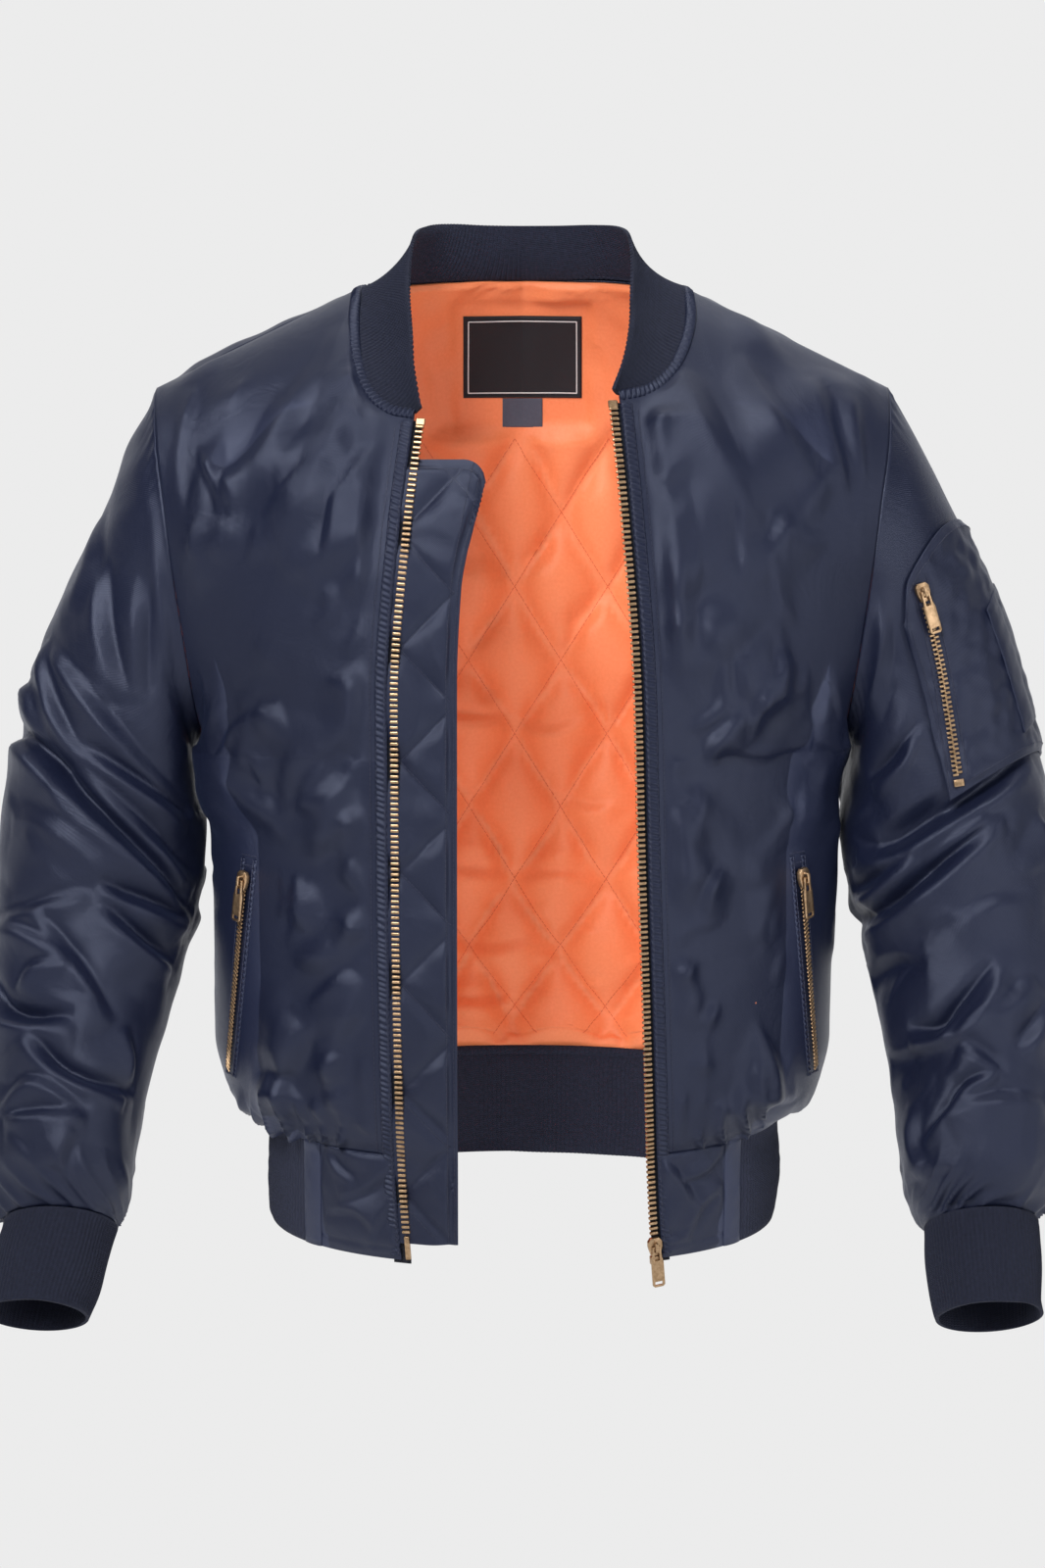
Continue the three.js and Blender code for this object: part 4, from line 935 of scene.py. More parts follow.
def collarBase():
    # roots follow the fronts' and the back's necklines, the free edge its own curve
    halves = []
    for name, side in sideSigns.items():
        front, rear = neckRow(base, -1, side)
        roots = np.concatenate([front, rear[1:]], 0)
        spots = np.concatenate([np.linspace(0, 5, len(front)), np.linspace(5, 9, len(rear))[1:]])
        edge = np.array(collarEdge[name], float) * [side, 1, 1]
        edges = throughPoints(np.arange(10), edge, spots)
        halves.append((roots, edges) if side < 0 else (roots[::-1][1:], edges[::-1][1:]))
    roots = np.concatenate([halves[0][0], halves[1][0]], 0)
    edges = np.concatenate([halves[0][1], halves[1][1]], 0)
    span = np.linalg.norm(edges - roots, axis=-1, keepdims=True)
    inward = unitNormals(-roots * [1, 1, 0])
    rows = []
    for t in np.linspace(0, 1, collarCut["rows"] + 1):
        share = mix(collarCut["rise"] / np.maximum(span, 1), 1, t)
        bow = collarCut["bow"] * span / 60 * 4 * share * (1 - share)
        rows.append(mix(roots, edges, share) + inward * bow * 0.6 + np.array([0, 0, -0.8]) * bow)
    return np.array(rows)


collarPoints = collarBase()
ribCount = round(arcAlong(collarPoints, 1)[:, -1].mean() / ribs["pitch"])
collarPoints = evenly(collarPoints, 1, ribCount * ribs["perRib"] + 1)
normals, facing = gridNormals(collarPoints, np.array([0.0, 0.0, -40.0]))
along = np.linspace(0, ribCount, collarPoints.shape[1])[None, :]
rim = edgeFade(collarPoints, (3, 3, 2, 3))
height = ribHeight(along) * rim + 0.9 * ripple(collarPoints, 60, 91) * rim
sew("collar_rib", collarPoints, raised(collarPoints, normals, height), facing, "rib", "collar",
    fullness=1.3, **knitLook)

for name, side in sideSigns.items():
    turn = np.linspace(0, 1, ribs["round"] * ribs["perRib"] + 1)
    start, end = np.array(sleeveRings[name][-1], float), np.array(cuffEnds[name], float)
    rows = []
    for t in np.linspace(0.008, 1, 18):
        ring = mix(start, end, t)
        swell = 1.6 * math.sin(math.pi * min(1, t * 1.1)) + 1.2 * math.exp(-t / 0.06)
        points = ringPoints(ring, side, turn)
        rows.append(points + unitNormals(points - points[:-1].mean(0)) * swell)
    points = np.array(rows)
    normals, facing = gridNormals(points, points[:, :-1].mean(1, keepdims=True), wrap=True)
    height = ribHeight(turn * ribs["round"])[None, :] * edgeFade(points, (1, 1, 1.5, 2.5), wrap=True)
    height = height + 0.8 * ripple(points, 40, 93 + side) * edgeFade(points, (1, 1, 6, 6), wrap=True)
    height[:, -1] = height[:, 0]
    sew("cuff_" + name + "_rib", points, raised(points, normals, height), facing, "rib", "cuff_" + name,
        held="stretched", fullness=1.2, wrap=True, **knitLook)


def bandPoints(side, fromAngle, toAngle, columns, zRows):
    # angle 0 in front, a quarter turn at the side, a half turn behind
    z = zRows[:, None] + np.zeros((1, columns))
    t = np.linspace(0, 1, columns)[None, :]
    angle = mix(fromAngle(zRows)[:, None], toAngle(zRows)[:, None], t)
    half = readTable(sections, z, 1)
    front = torsoPoint(-1, side * half * np.sin(angle), z)
    rear = torsoPoint(1, side * half * np.sin(angle), z)
    return np.where((angle <= math.pi / 2)[..., None], front, rear)


def angleAt(x):
    return lambda z: np.arcsin((x(z) if callable(x) else x) / readTable(sections, z, 1))


bandCore = np.array([0.0, 0.0, -620.0])
stripFrom, stripTo = 142, 152
tuck = 3.0
hiddenZ = np.linspace(bandTop + tuck, bandTop - 1, 6)
bandZ = np.concatenate([hiddenZ, np.linspace(bandTop - 3, bandBottom, 16)])
panelZ = np.concatenate([hiddenZ, np.linspace(bandTop - 2, bandBottom, 56)])
# rows of elastic stitched into the waistband's knit
elastic = {"first": 14, "step": 8.2, "rows": 7, "deep": 0.5, "wide": 1.1}


def tuckedIn(points):
    # how far the seam allowance above the band lies inside the shell
    down = arcAlong(points, 0)
    return 2.6 * smoothStep((tuck + 1.5 - down) / 2.5)


# soft creases of the two satin panels: knots (x from the middle, z), width, rise, trough
hemCreases = {
    "right": [
        ([(90, -592), (106, -610), (128, -622)], 5.5, 3.4, 0.6),
        ([(98, -642), (116, -630), (138, -634)], 5, 2.8, 0.6),
        ([(90, -616), (102, -638), (108, -658)], 5, 2.6, 0.5),
        ([(138, -592), (130, -604), (116, -612)], 4, 3.0, 0.6),
    ],
    "left": [
        ([(88, -592), (104, -606), (122, -638)], 6, 3.8, 0.6),
        ([(139, -592), (128, -603), (110, -608)], 4, 3.2, 0.7),
        ([(139, -616), (124, -628), (112, -652)], 5, 3.0, 0.6),
        ([(84, -640), (98, -652), (118, -650)], 5, 2.4, 0.5),
    ],
}
ribSides = []
for side in (-1, 1):
    half = bandPoints(side, angleAt(stripTo), lambda z: np.full_like(z, math.pi), 420, bandZ)
    ribSides.append(half if side < 0 else half[:, ::-1][:, 1:])
hemPoints = np.concatenate(ribSides, 1)
hemRibs = round(arcAlong(hemPoints, 1)[:, -1].mean() / ribs["pitch"])
hemPoints = evenly(hemPoints, 1, hemRibs * ribs["perRib"] + 1)
normals, facing = gridNormals(hemPoints, bandCore)
fade = edgeFade(hemPoints, (2, 2, 2.5, 2.5))
height = ribHeight(np.linspace(0, hemRibs, hemPoints.shape[1])[None, :]) * fade
height = height + 1.4 * ripple(hemPoints, 70, 97) * edgeFade(hemPoints, (9, 9, 9, 5))
fromTop = arcAlong(hemPoints, 0)
for row in range(elastic["rows"]):
    away = (fromTop - elastic["first"] - row * elastic["step"]) / elastic["wide"]
    height = height - elastic["deep"] * np.exp(-away ** 2) * fade
height = height - tuckedIn(hemPoints)
sew("hem_rib_knit", hemPoints, raised(hemPoints, normals, height), facing, "rib", "hem_rib",
    held="stretched", fullness=1.2, **knitLook)
for name, side in sideSigns.items():
    panel = bandPoints(side, angleAt(lambda z, n=name: zipX(n, z) + panelEdge),
                       angleAt(stripFrom - seamGap), 50, panelZ)
    normals, facing = gridNormals(panel, bandCore)
    fromHem = arcAlong(panel, 0)[-1:] - arcAlong(panel, 0)
    height = 1.0 * ripple(panel * [1, 1, 1.4], 34, 103 + side) + 1.0
    onBand = lambda a, b, side=side: torsoPoint(-1, side * a, b)
    for knots, width, rise, lip in hemCreases[name]:
        addCrease(height, panel, normals, pathOn(onBand, knots), width, rise, lip)
    height = height * edgeFade(panel, (6, 6, 8, 5)) - tuckedIn(panel)
    height = height - 0.6 * np.exp(-((fromHem - 9) / 1.6) ** 2)
    sew("hem_panel_" + name, panel, raised(panel, normals, height), facing, "satin", "hem_" + name, rim=0.8)
    strip = bandPoints(side, angleAt(stripFrom - 1), angleAt(stripTo + 1), 14, bandZ)
    normals, facing = gridNormals(strip, bandCore)
    crown = 0.35 + np.sin(np.linspace(0, np.pi, 14))[None, :] ** 0.6 * 0.9
    height = crown + 0.25 * ripple(strip, 8, 105 + side) * edgeFade(strip, (1, 1, 3, 3))
    height = height - tuckedIn(strip) * 0.6
    sew("hem_binding_" + name, strip, raised(strip, normals, height), facing, "satin", "hem_strip_" + name)
print("knit and waistband ready")

# ---- quilted lining ----
quilt = {"wide": 70.0, "tall": 111.0, "apexX": -6.0, "apexZ": -109.0, "puff": 11.5, "soft": 8.5}
liningDepth = 5.1


def diamonds(x, z, cut):
    # distance in mm to the two families of stitch lines
    a, b = (x - cut["apexX"]) / cut["wide"], (z - cut["apexZ"]) / cut["tall"]
    across = 1 / math.hypot(1 / cut["wide"], 1 / cut["tall"])
    one, two = a + b, a - b
    return np.abs(one - np.round(one)) * across, np.abs(two - np.round(two)) * across


def puffs(points, cut, plainAbove=None, seed=5):
    warp = 3.0 * ripple(points, 110, seed)
    x, z = points[..., 0] + warp, points[..., 2] + 3.0 * ripple(points, 120, seed + 1)
    one, two = diamonds(x, z, cut)
    fill = (1 - np.exp(-one / cut["soft"])) * (1 - np.exp(-two / cut["soft"]))
    pucker = 1.7 * ripple(points * [1, 1, 0.45], 16, seed + 2) * np.exp(-np.minimum(one, two) / 7)
    height = cut["puff"] * 1.35 * fill + pucker
    if plainAbove is not None:
        plain = smoothStep((points[..., 2] - plainAbove) / 6)
        height = mix(height, 3.0 + 1.6 * ripple(points, 34, seed + 3), plain)
    return height


liningCut = {"neck": 38, "shoulder": 36, "lower": 110, "upper": 70, "neckShare": 0.5}
frontLiningCut = {"neck": 24, "shoulder": 26, "lower": 90, "upper": 50, "neckShare": 5 / 9}
half = halfGrid(1, 1, lambda z: 0 * np.asarray(z, float), topOfPanel(backNeckline, liningCut["neckShare"]),
                spreadShares(liningCut), *panelRows(liningCut))
linBase = np.concatenate([(half[:, ::-1] * [-1, 1, 1])[:, :-1], half], 1)[2:]
normals, facing = gridNormals(linBase, torsoCore)
faceSide = linBase - normals * liningDepth
liningCreases = [
    ([(-95, -205), (-60, -212), (-20, -206)], 8, 4.0, 0.6),
    ([(-38, -208), (-6, -212), (26, -200)], 6, 3.5, 0.9),
    ([(20, -262), (48, -250), (66, -228)], 7, 3.2, 0.7),
    ([(-80, -318), (-50, -322), (-10, -326)], 7, 3.6, 0.8),
    ([(-10, -322), (20, -330), (60, -318)], 6, 3.0, 0.7),
    ([(26, -380), (50, -390), (76, -384)], 6, 3.0, 0.8),
    ([(-70, -436), (-40, -440), (-8, -444)], 7, 3.4, 0.8),
    ([(0, -446), (28, -440), (58, -446)], 6, 3.0, 0.7),
    ([(-60, -500), (-30, -506), (10, -496)], 7, 3.2, 0.7),
    ([(-90, -548), (-40, -556), (0, -553)], 7, 3.0, 0.8),
    ([(-84, -30), (-76, -62), (-66, -100)], 7, 2.4, 0.6),
    ([(60, -34), (70, -70), (62, -110)], 7, 2.4, 0.6),
    ([(-60, -92), (-30, -100), (8, -98)], 7, 2.2, 0.7),
]


def shapeLining(points, inner, seed, creases, plainAbove):
    height = puffs(points, quilt, plainAbove, seed)
    surface = lambda a, b: torsoPoint(1, a, b, -liningDepth)
    for knots, width, rise, lip in creases:
        addCrease(height, points, inner, pathOn(surface, knots), width, rise * 1.6, lip)
    box = ((-150, 150), (-570, -60), (1, 1))
    smallCreases(height, points, inner, surface, box, 110, seed + 9, (14, 40), (0.8, 2.6), 0.1)
    return height


height = shapeLining(faceSide, -normals, 131, liningCreases, quilt["apexZ"] + 2)
x, z = faceSide[..., 0], faceSide[..., 2]
underLabel = smoothStep((54 - np.abs(x)) / 9) * smoothStep((z + 108) / 8) * smoothStep((-8 - z) / 6)
height = mix(height, 0.2, underLabel)
drawn = gathers(faceSide, 6.5, 9, 1.5, 141, fromEnd=True)
height = (height + drawn) * edgeFade(faceSide, (10, 10, 6, 3))
backLining = sew("lining_back_quilt", linBase, raised(faceSide, -normals, height), -facing, "lining",
                 "lining_back", thick=quiltThick)
for name, side in sideSigns.items():
    top = topOfPanel(neckline[name], frontLiningCut["neckShare"])
    grid = halfGrid(-1, side, lambda z, n=name: zipX(n, z) + panelEdge, top, spreadShares(frontLiningCut),
                    *panelRows(frontLiningCut))
    grid = grid[2:-5, 11:]
    normals, facing = gridNormals(grid, torsoCore)
    faceSide = grid - normals * liningDepth
    height = puffs(faceSide, quilt, None, 151 + side) * edgeFade(faceSide, (14, 14, 10, 14))
    sew("lining_" + name + "_quilt", grid, raised(faceSide, -normals, height), -facing, "lining",
        "lining_" + name, thick=quiltThick)
print("lining ready")

# ---- wind flap ----
flap = {"top": -117, "bottom": -652, "under": 12, "depth": 4.1, "thick": 1.6, "corner": 15, "wide": 60}
flapQuilt = {"wide": 74.0, "tall": 76.0, "apexX": -46.0, "apexZ": -206.0, "puff": 3.0, "soft": 5.5}
flapRows, flapColumns = 250, 44
t = np.linspace(0, 1, flapColumns)[None, :]
z = np.linspace(flap["bottom"], flap["top"], flapRows)[:, None]
intoCorner = np.maximum(0, (t - 1) * flap["wide"] + flap["corner"])
corner = flap["corner"] - np.sqrt(flap["corner"] ** 2 - intoCorner ** 2)
corner = corner * np.maximum(0, (z - flap["top"] + 60) / 60)
x = -mix(zipX("right", z) + flap["under"], readTable(flapEdge, z), t)
flapPoints = torsoPoint(-1, x, z - corner, -flap["depth"])
normals, facing = gridNormals(flapPoints, torsoCore)
one, two = diamonds(flapPoints[..., 0], flapPoints[..., 2], flapQuilt)
away = arcAlong(flapPoints, 1)[:, -1:] - arcAlong(flapPoints, 1)
down = arcAlong(flapPoints, 0)[-1:] - arcAlong(flapPoints, 0)
fill = (1 - np.exp(-one / flapQuilt["soft"])) * (1 - np.exp(-two / flapQuilt["soft"]))
height = flapQuilt["puff"] * 1.4 * fill
height += 0.8 * ripple(flapPoints * [1, 1, 0.6], 18, 161) * smoothStep(away / 6)
height *= smoothStep((away - 4.5) / 4) * smoothStep((down - 4.5) / 4)
height += 0.5 * np.exp(-((away - 2) / 1.8) ** 2)
height += 0.7 * np.cos(2 * np.pi * z / 4.2) * np.exp(-((away - 4) / 2.4) ** 2)
height = np.minimum(height, 3.9)
flapNormals = normals
flapTop = raised(flapPoints, normals, height)
flapPiece = sew("wind_flap_quilt", flapPoints, flapTop, facing, "satin", "wind_flap", thick=flap["thick"],
                rim=0.6)

# ---- label and size tab ----
def patchOnLining(name, cut, slotName):
    # a bare patch on the lining at the neck
    x = np.linspace(-cut["half"], cut["half"], 40)[None, :] + np.zeros((26, 1))
    z = np.linspace(cut["bottom"], cut["top"], 26)[:, None] + np.zeros((1, 40))
    points = torsoPoint(1, x, z, -(liningDepth + 1.1))
    normals, facing = gridNormals(points, torsoCore)
    sag = 0.5 * ripple(points, 30, 171) * edgeFade(points, (6, 6, 6, 6))
    points = raised(points, -normals, sag)
    return sew(name, points, points, -facing, slotName, slotName, thick=0.8)


labelCut = {"half": 44, "top": -19, "bottom": -79, "inset": 3.6, "hem": 1.2}
tabCut = {"half": 15, "top": -79.6, "bottom": -101}
labelPiece = patchOnLining("neck_label", labelCut, "label")
patchOnLining("size_tab_cloth", tabCut, "size_tab")


# ---- small repeated things: stitches, ridged seams, teeth ----
def frames(path, normals):
    # tangents and sideways directions along a path on a surface
    tangent = unitNormals(np.gradient(path, axis=0))
    normals = unitNormals(normals - tangent * (normals * tangent).sum(-1, keepdims=True))
    return tangent, np.cross(tangent, normals), normals


def resample(path, normals, step):
    arc = arcAlong(path, 0)
    count = max(2, int(arc[-1] / step))
    at = (np.arange(count) + 0.5) * arc[-1] / count
    spots = np.stack([np.interp(at, arc, path[:, k]) for k in range(3)], -1)
    ups = np.stack([np.interp(at, arc, normals[:, k]) for k in range(3)], -1)
    return spots, ups


def placeUnit(bm, unit, spot, sideways, tangent, up, slant=0.0):
    # a copy of a small mesh: x across, y along, z out
    turned = Matrix((sideways, tangent, up)).transposed().to_4x4()
    place = Matrix.Translation(Vector(spot * mm)) @ turned @ Matrix.Rotation(slant, 4, "Z")
    first = len(bm.verts)
    bm.from_mesh(unit)
    bm.verts.ensure_lookup_table()
    bmesh.ops.transform(bm, matrix=place, verts=bm.verts[first:])


def scatterAlong(bm, unit, spots, ups, slant=0.0, lean=(0.0, 0.0)):
    tangent, sideways, ups = frames(spots, ups)
    spots = spots + sideways * lean[0] + tangent * lean[1]
    for k in range(len(spots)):
        placeUnit(bm, unit, spots[k], sideways[k], tangent[k], ups[k], slant)


def smallBlock(name, wide, long, high, bevel, segments=1):
    bm = bmesh.new()
    bmesh.ops.create_cube(bm, size=1)
    for vert in bm.verts:
        vert.co = (vert.co.x * wide * mm, vert.co.y * long * mm, vert.co.z * high * mm)
    bmesh.ops.bevel(bm, geom=bm.edges[:], offset=bevel * mm, offset_type="OFFSET", segments=segments,
                    profile=0.5, affect="EDGES", material=-1, clamp_overlap=True)
    mesh = bpy.data.meshes.new(name)
    bm.to_mesh(mesh)
    bm.free()
    return mesh


stitchUnit = smallBlock("stitch", 0.55, 2.6, 0.5, 0.16)
toothUnit = smallBlock("tooth", 6.0, 2.1, 2.6, 0.7, 2)
barUnit = smallBlock("chain tooth", 5.8, 1.75, 1.5, 0.5, 2)


def stitchRow(bm, path, normals, step, lift=0.1):
    scatterAlong(bm, stitchUnit, *resample(path + normals * lift, normals, step))


def onShell(path, normals, shell, lift):
    # settle a path on a piece's outer face
    tree = BVHTree.FromObject(shell, bpy.context.evaluated_depsgraph_get())
    settled = path.copy()
    for k in range(len(path)):
        start = Vector((path[k] + normals[k] * 14) * mm)
        hit = tree.ray_cast(start, Vector(-normals[k]), 0.03)
        if hit[0] is not None:
            settled[k] = np.array(hit[0]) / mm + normals[k] * lift
    return settled


def stitchOn(bm, piece, route, step, lift=0.15):
    path, ups = route
    stitchRow(bm, onShell(path, ups, piece, lift), ups, step)


def stitchDiamonds(bm, cut, lines, fromZ, toZ, shows, fewest, face, out, piece, lift):
    # stitches along a quilting's two families of lines, where shows(x, z) holds
    z = np.linspace(fromZ, toZ, 900)
    for slope in (1, -1):
        for k in lines:
            x = cut["apexX"] + cut["wide"] * (k - slope * (z - cut["apexZ"]) / cut["tall"])
            seen = shows(x, z)
            if seen.sum() > fewest:
                route = lifted(lambda away: torsoPoint(face, x[seen], z[seen], away), out, -face)
                stitchOn(bm, piece, route, 3.4, lift)


def joined(name, bm, material, slotName, *nodes):
    return dress(linkPiece(name, bm, material, smooth=False), slotName, *nodes)


def ridgedStrip(name, route, wide, rise, pitch, *nodes, thick=0.6, slant=0.35):
    # a narrow raised seam, gathered into ridges by its stitching
    spots, ups = resample(*route, 0.75)
    tangent, sideways, ups = frames(spots, ups)
    across = np.linspace(-1, 1, 9)[:, None]
    crown = 1 - across ** 4
    phase = 2 * np.pi * (arcAlong(spots, 0)[None, :] + slant * across * wide / 2) / pitch
    wander = 1.4 * ripple(spots, 24, 181)[None, :]
    height = rise * crown * (0.62 + 0.38 * np.cos(phase + wander)) - 0.4
    points = spots[None] + sideways[None] * (across[..., None] * wide / 2) + ups[None] * height[..., None]
    _, facing = gridNormals(points, torsoCore)
    return sew(name, points, points, facing, "satin", *nodes, thick=thick, held="gathered")


def alongFront(name, fromZ, toZ, inset, count=400, out=0.0):
    z = np.linspace(fromZ, toZ, count)
    x = sideSigns[name] * (zipX(name, z) + inset)
    return lifted(lambda rise: torsoPoint(-1, x, z, rise), out)


frontTops = {"right": -93, "left": -81}
plackets = {}
for name in sideSigns:
    route = alongFront(name, bandBottom + 3, frontTops[name], 9.2, out=0.2)
    plackets[name] = ridgedStrip("zip_facing_" + name, route, 8.6, 1.9, 4.1)

firstRow = collarPoints[0]
bodyEdge = []
for side in (-1, 1):
    front, rear = neckRow(panels, -4, side)
    root = np.concatenate([front, rear[1:]], 0)
    bodyEdge.append(root if side < 0 else root[::-1][1:])
bodyEdge = np.concatenate(bodyEdge, 0)
smoothed = (bodyEdge[:-2] + bodyEdge[1:-1] * 2 + bodyEdge[2:]) / 4
rootLine = np.concatenate([bodyEdge[:1], smoothed, bodyEdge[-1:]])
rootArc = arcAlong(rootLine, 0)
collarArc = arcAlong(firstRow, 0)
shareAlong = rootArc / rootArc[-1]
near = np.stack([np.interp(shareAlong, collarArc / collarArc[-1], firstRow[:, k]) for k in range(3)], -1)
up = unitNormals(np.cross(np.gradient(rootLine, axis=0), near - rootLine))
up *= np.sign((up * (rootLine - np.array([0, 0, -120.0]))).sum(-1, keepdims=True))
for _ in range(6):
    up[1:-1] = (up[:-2] + up[1:-1] * 2 + up[2:]) / 4
ridgedStrip("collar_seam", (rootLine + (near - rootLine) * 0.5, up), 8.2, 3.0, 3.6, slant=0.2)

# ---- zips ----
zipCut = {"toothPitch": 3.7, "tapeIn": 1.0, "tapeOut": 11.0, "sunk": 0.85}
stopUnit = smallBlock("stop", 6.4, 5.0, 2.8, 0.6)
zipTops = {"right": -91, "left": -79}
zipLows = {"right": bandBottom + 19, "left": bandBottom + 17}
for name, side in sideSigns.items():
    z = np.linspace(bandBottom - 3, zipTops[name] - 1, 300)[:, None]
    x = side * (zipX(name, z) + np.linspace(-zipCut["tapeIn"], zipCut["tapeOut"], 10)[None, :])
    points = torsoPoint(-1, x, z, -shellThick - 0.5)
    _, facing = gridNormals(points, torsoCore)
    sew("zip_tape_cloth_" + name, points, points, facing, "zip_tape", "zip_tape_" + name, thick=1.0,
        held="stretched")
    bm = bmesh.new()
    path, ups = alongFront(name, zipLows[name], zipTops[name] - 4, 0.2, 900)
    scatterAlong(bm, toothUnit, *resample(path - ups * zipCut["sunk"], ups, zipCut["toothPitch"]))
    end, endUp = alongFront(name, zipTops[name] - 2.5, zipTops[name] - 1, 0.2, 4)
    tangent, sideways, endUp = frames(end, endUp)
    placeUnit(bm, stopUnit, end[0] - endUp[0] * 0.9, sideways[0], tangent[0], endUp[0])
    joined("zip_teeth_brass_" + name, bm, brass, "brass", "zip_teeth_" + name)

for name in sideSigns:
    bm = bmesh.new()
    for inset in (6.6, 12.2):
        route = alongFront(name, bandBottom + 4, frontTops[name] - 1, inset, 700)
        stitchOn(bm, plackets[name], route, 3.5, 0.1)
    stitchOn(bm, shells[name], alongFront(name, bandTop + 1, frontTops[name] - 4, 16.5, 500), 3.5)
    joined("front_topstitch_" + name, bm, thread, "satin")

bm = bmesh.new()
for column in (-3, -7):
    stitchRow(bm, flapTop[:, column], flapNormals[:, column], 3.4, 0.15)
stitchRow(bm, flapTop[-4], flapNormals[-4], 3.4, 0.15)
stitchDiamonds(bm, flapQuilt, range(-9, 2), flap["bottom"] + 6, flap["top"] - 6,
               lambda x, z: (x > -zipX("right", z) - 2) & (x < -readTable(flapEdge, z) - 4), 12,
               -1, -flap["depth"], flapPiece, 0.1)
joined("wind_flap_stitches", bm, thread, "satin")
print("front zip and stitching ready")

# ---- hand pockets ----
pocket = {"bend": 155, "chainOut": 2.7, "lipOut": 0.5, "beside": 5.9, "lip": 4.6, "pitch": 2.9, "slant": 0.5}


def pocketLine(name, share, across, out):
    # a point on a front by its share down the slit and its distance beside it
    topX, topZ, lowX, lowZ = handPockets[name]
    z = mix(topZ, lowZ, share)
    half = readTable(sections, z, 1)
    angle = np.arcsin(mix(topX, lowX, share) / half) + across / pocket["bend"]
    return torsoPoint(-1, sideSigns[name] * half * np.sin(angle), z, out)


for name, side in sideSigns.items():
    share = np.linspace(0.07, 0.985, 300)
    route = lifted(lambda out: pocketLine(name, share, 0, out), pocket["chainOut"])
    bm = bmesh.new()
    scatterAlong(bm, barUnit, *resample(*route, pocket["pitch"]), pocket["slant"] * side)
    joined("pocket_chain_" + name, bm, brass, "brass", "pocket_teeth_" + name)
    share = np.linspace(-0.07, 1.02, 260)
    bm = bmesh.new()
    for label, across in (("inner", -pocket["beside"]), ("outer", pocket["beside"])):
        path, ups = lifted(lambda out: pocketLine(name, share, across, out), pocket["lipOut"])
        ridgedStrip("pocket_lip_" + label + "_" + name, (path, ups), pocket["lip"], 1.2, 4.4,
                    "pocket_welt_" + name, thick=0.7)
        stitchRow(bm, path + ups * 1.15, ups, 3.2, 0.0)
    across = np.linspace(-8, 8, 40)
    for end in (-0.085, -0.035, 1.02):
        route = lifted(lambda out: pocketLine(name, np.full(40, end), across, out), 0.0)
        stitchOn(bm, shells[name], route, 3.0)
    joined("pocket_stitches_" + name, bm, thread, "satin")

# ---- sleeve pocket and pen strip on the wearer's left arm ----
armPoints, armRings, armNormals = sleeveSurface["left"]
armAt = sampleGrid(armPoints, armRings)
armUp = sampleGrid(armNormals, armRings)
armCore = armPoints[:, :-1].mean((0, 1))
patchCut = {"turns": (-0.05, 0.25), "top": (1.86, 0.1), "bottom": (5.3, 4.6), "lift": 2.8, "corner": 0.5}


def onArm(turn, ring, out):
    turn, ring = np.broadcast_arrays(np.asarray(turn, float), np.asarray(ring, float))
    shape = turn.shape
    point = armAt(turn.ravel(), ring.ravel())
    up = unitNormals(armUp(turn.ravel(), ring.ravel()))
    return (point + up * np.broadcast_to(np.asarray(out, float), shape).ravel()[:, None]).reshape(*shape, 3)


def patchSpot(u, v, out):
    turn = mix(*patchCut["turns"], u)
    rounding = patchCut["corner"] * smoothStep((u - 0.86) / 0.14) ** 2
    top = mix(*patchCut["top"], u) + rounding
    return onArm(turn, mix(top, mix(*patchCut["bottom"], u), v), out)


u, v = np.meshgrid(np.linspace(0, 1, 76), np.linspace(0, 1, 130))
flat = patchSpot(u, v, patchCut["lift"])
normals, facing = gridNormals(flat, armCore)
rim = edgeFade(flat, (7, 7, 7, 7))
height = 1.3 * rim + 0.9 * ripple(flat, 34, 191) * rim + 0.5 * ripple(flat, 13, 192) * rim
zipU = (mix(0.2, 0.232, (mix(0.1, 4.6, v) - 0.75) / 3.7) + 0.05) / 0.3
channel = np.exp(-((u - zipU) * 0.3 * 430 / 6.5) ** 2)
height = height * (1 - channel) - 0.2 * channel
patch = sew("sleeve_pocket_patch", flat, raised(flat, normals, height), facing, "satin", "sleeve_pocket")

turn, ring = np.meshgrid(np.linspace(0, 0.1, 40), np.linspace(2.5, 4.6, 80))
pens = onArm(turn, ring, 5.2)
normals, facing = gridNormals(pens, armCore)
channels = np.abs(np.sin((turn / 0.1) * 2 * math.pi))
height = 0.9 * channels ** 0.6 * edgeFade(pens, (2, 2, 6, 6)) + 0.3 * ripple(pens, 16, 195)
sew("pen_strip_cloth", pens, raised(pens, normals, height), facing, "satin", "pen_strip", rim=0.6)


def alongSleeveZip(share, across, out):
    return onArm(mix(0.2, 0.232, share) - across / arm["girth"], mix(0.75, 4.45, share), out)


chainShare = np.linspace(0.082, 0.955, 300)
route = lifted(lambda out: alongSleeveZip(chainShare, 0, out), 3.9)
bm = bmesh.new()
halfTooth = smallBlock("half tooth", 3.9, 1.7, 1.6, 0.45, 2)
for lean in (-1, 1):
    scatterAlong(bm, halfTooth, *resample(*route, 3.2), lean=(lean * 1.35, lean * 0.8))
joined("sleeve_chain", bm, brass, "brass", "sleeve_teeth")

bm = bmesh.new()
even = np.linspace(0.03, 0.965, 90)
for us, vs in ((np.full(90, 0.965), np.linspace(0.05, 0.965, 90)), (even, np.full(90, 0.035)),
               (even, np.full(90, 0.965))):
    stitchOn(bm, patch, lifted(lambda out: patchSpot(us, vs, out), patchCut["lift"]), 3.3)
for across in (-6.6, 6.6):
    route = lifted(lambda out: alongSleeveZip(np.linspace(0.0, 1.0, 200), across, out), 3)
    stitchOn(bm, patch, route, 3.1)
joined("sleeve_pocket_stitches", bm, thread, "satin")

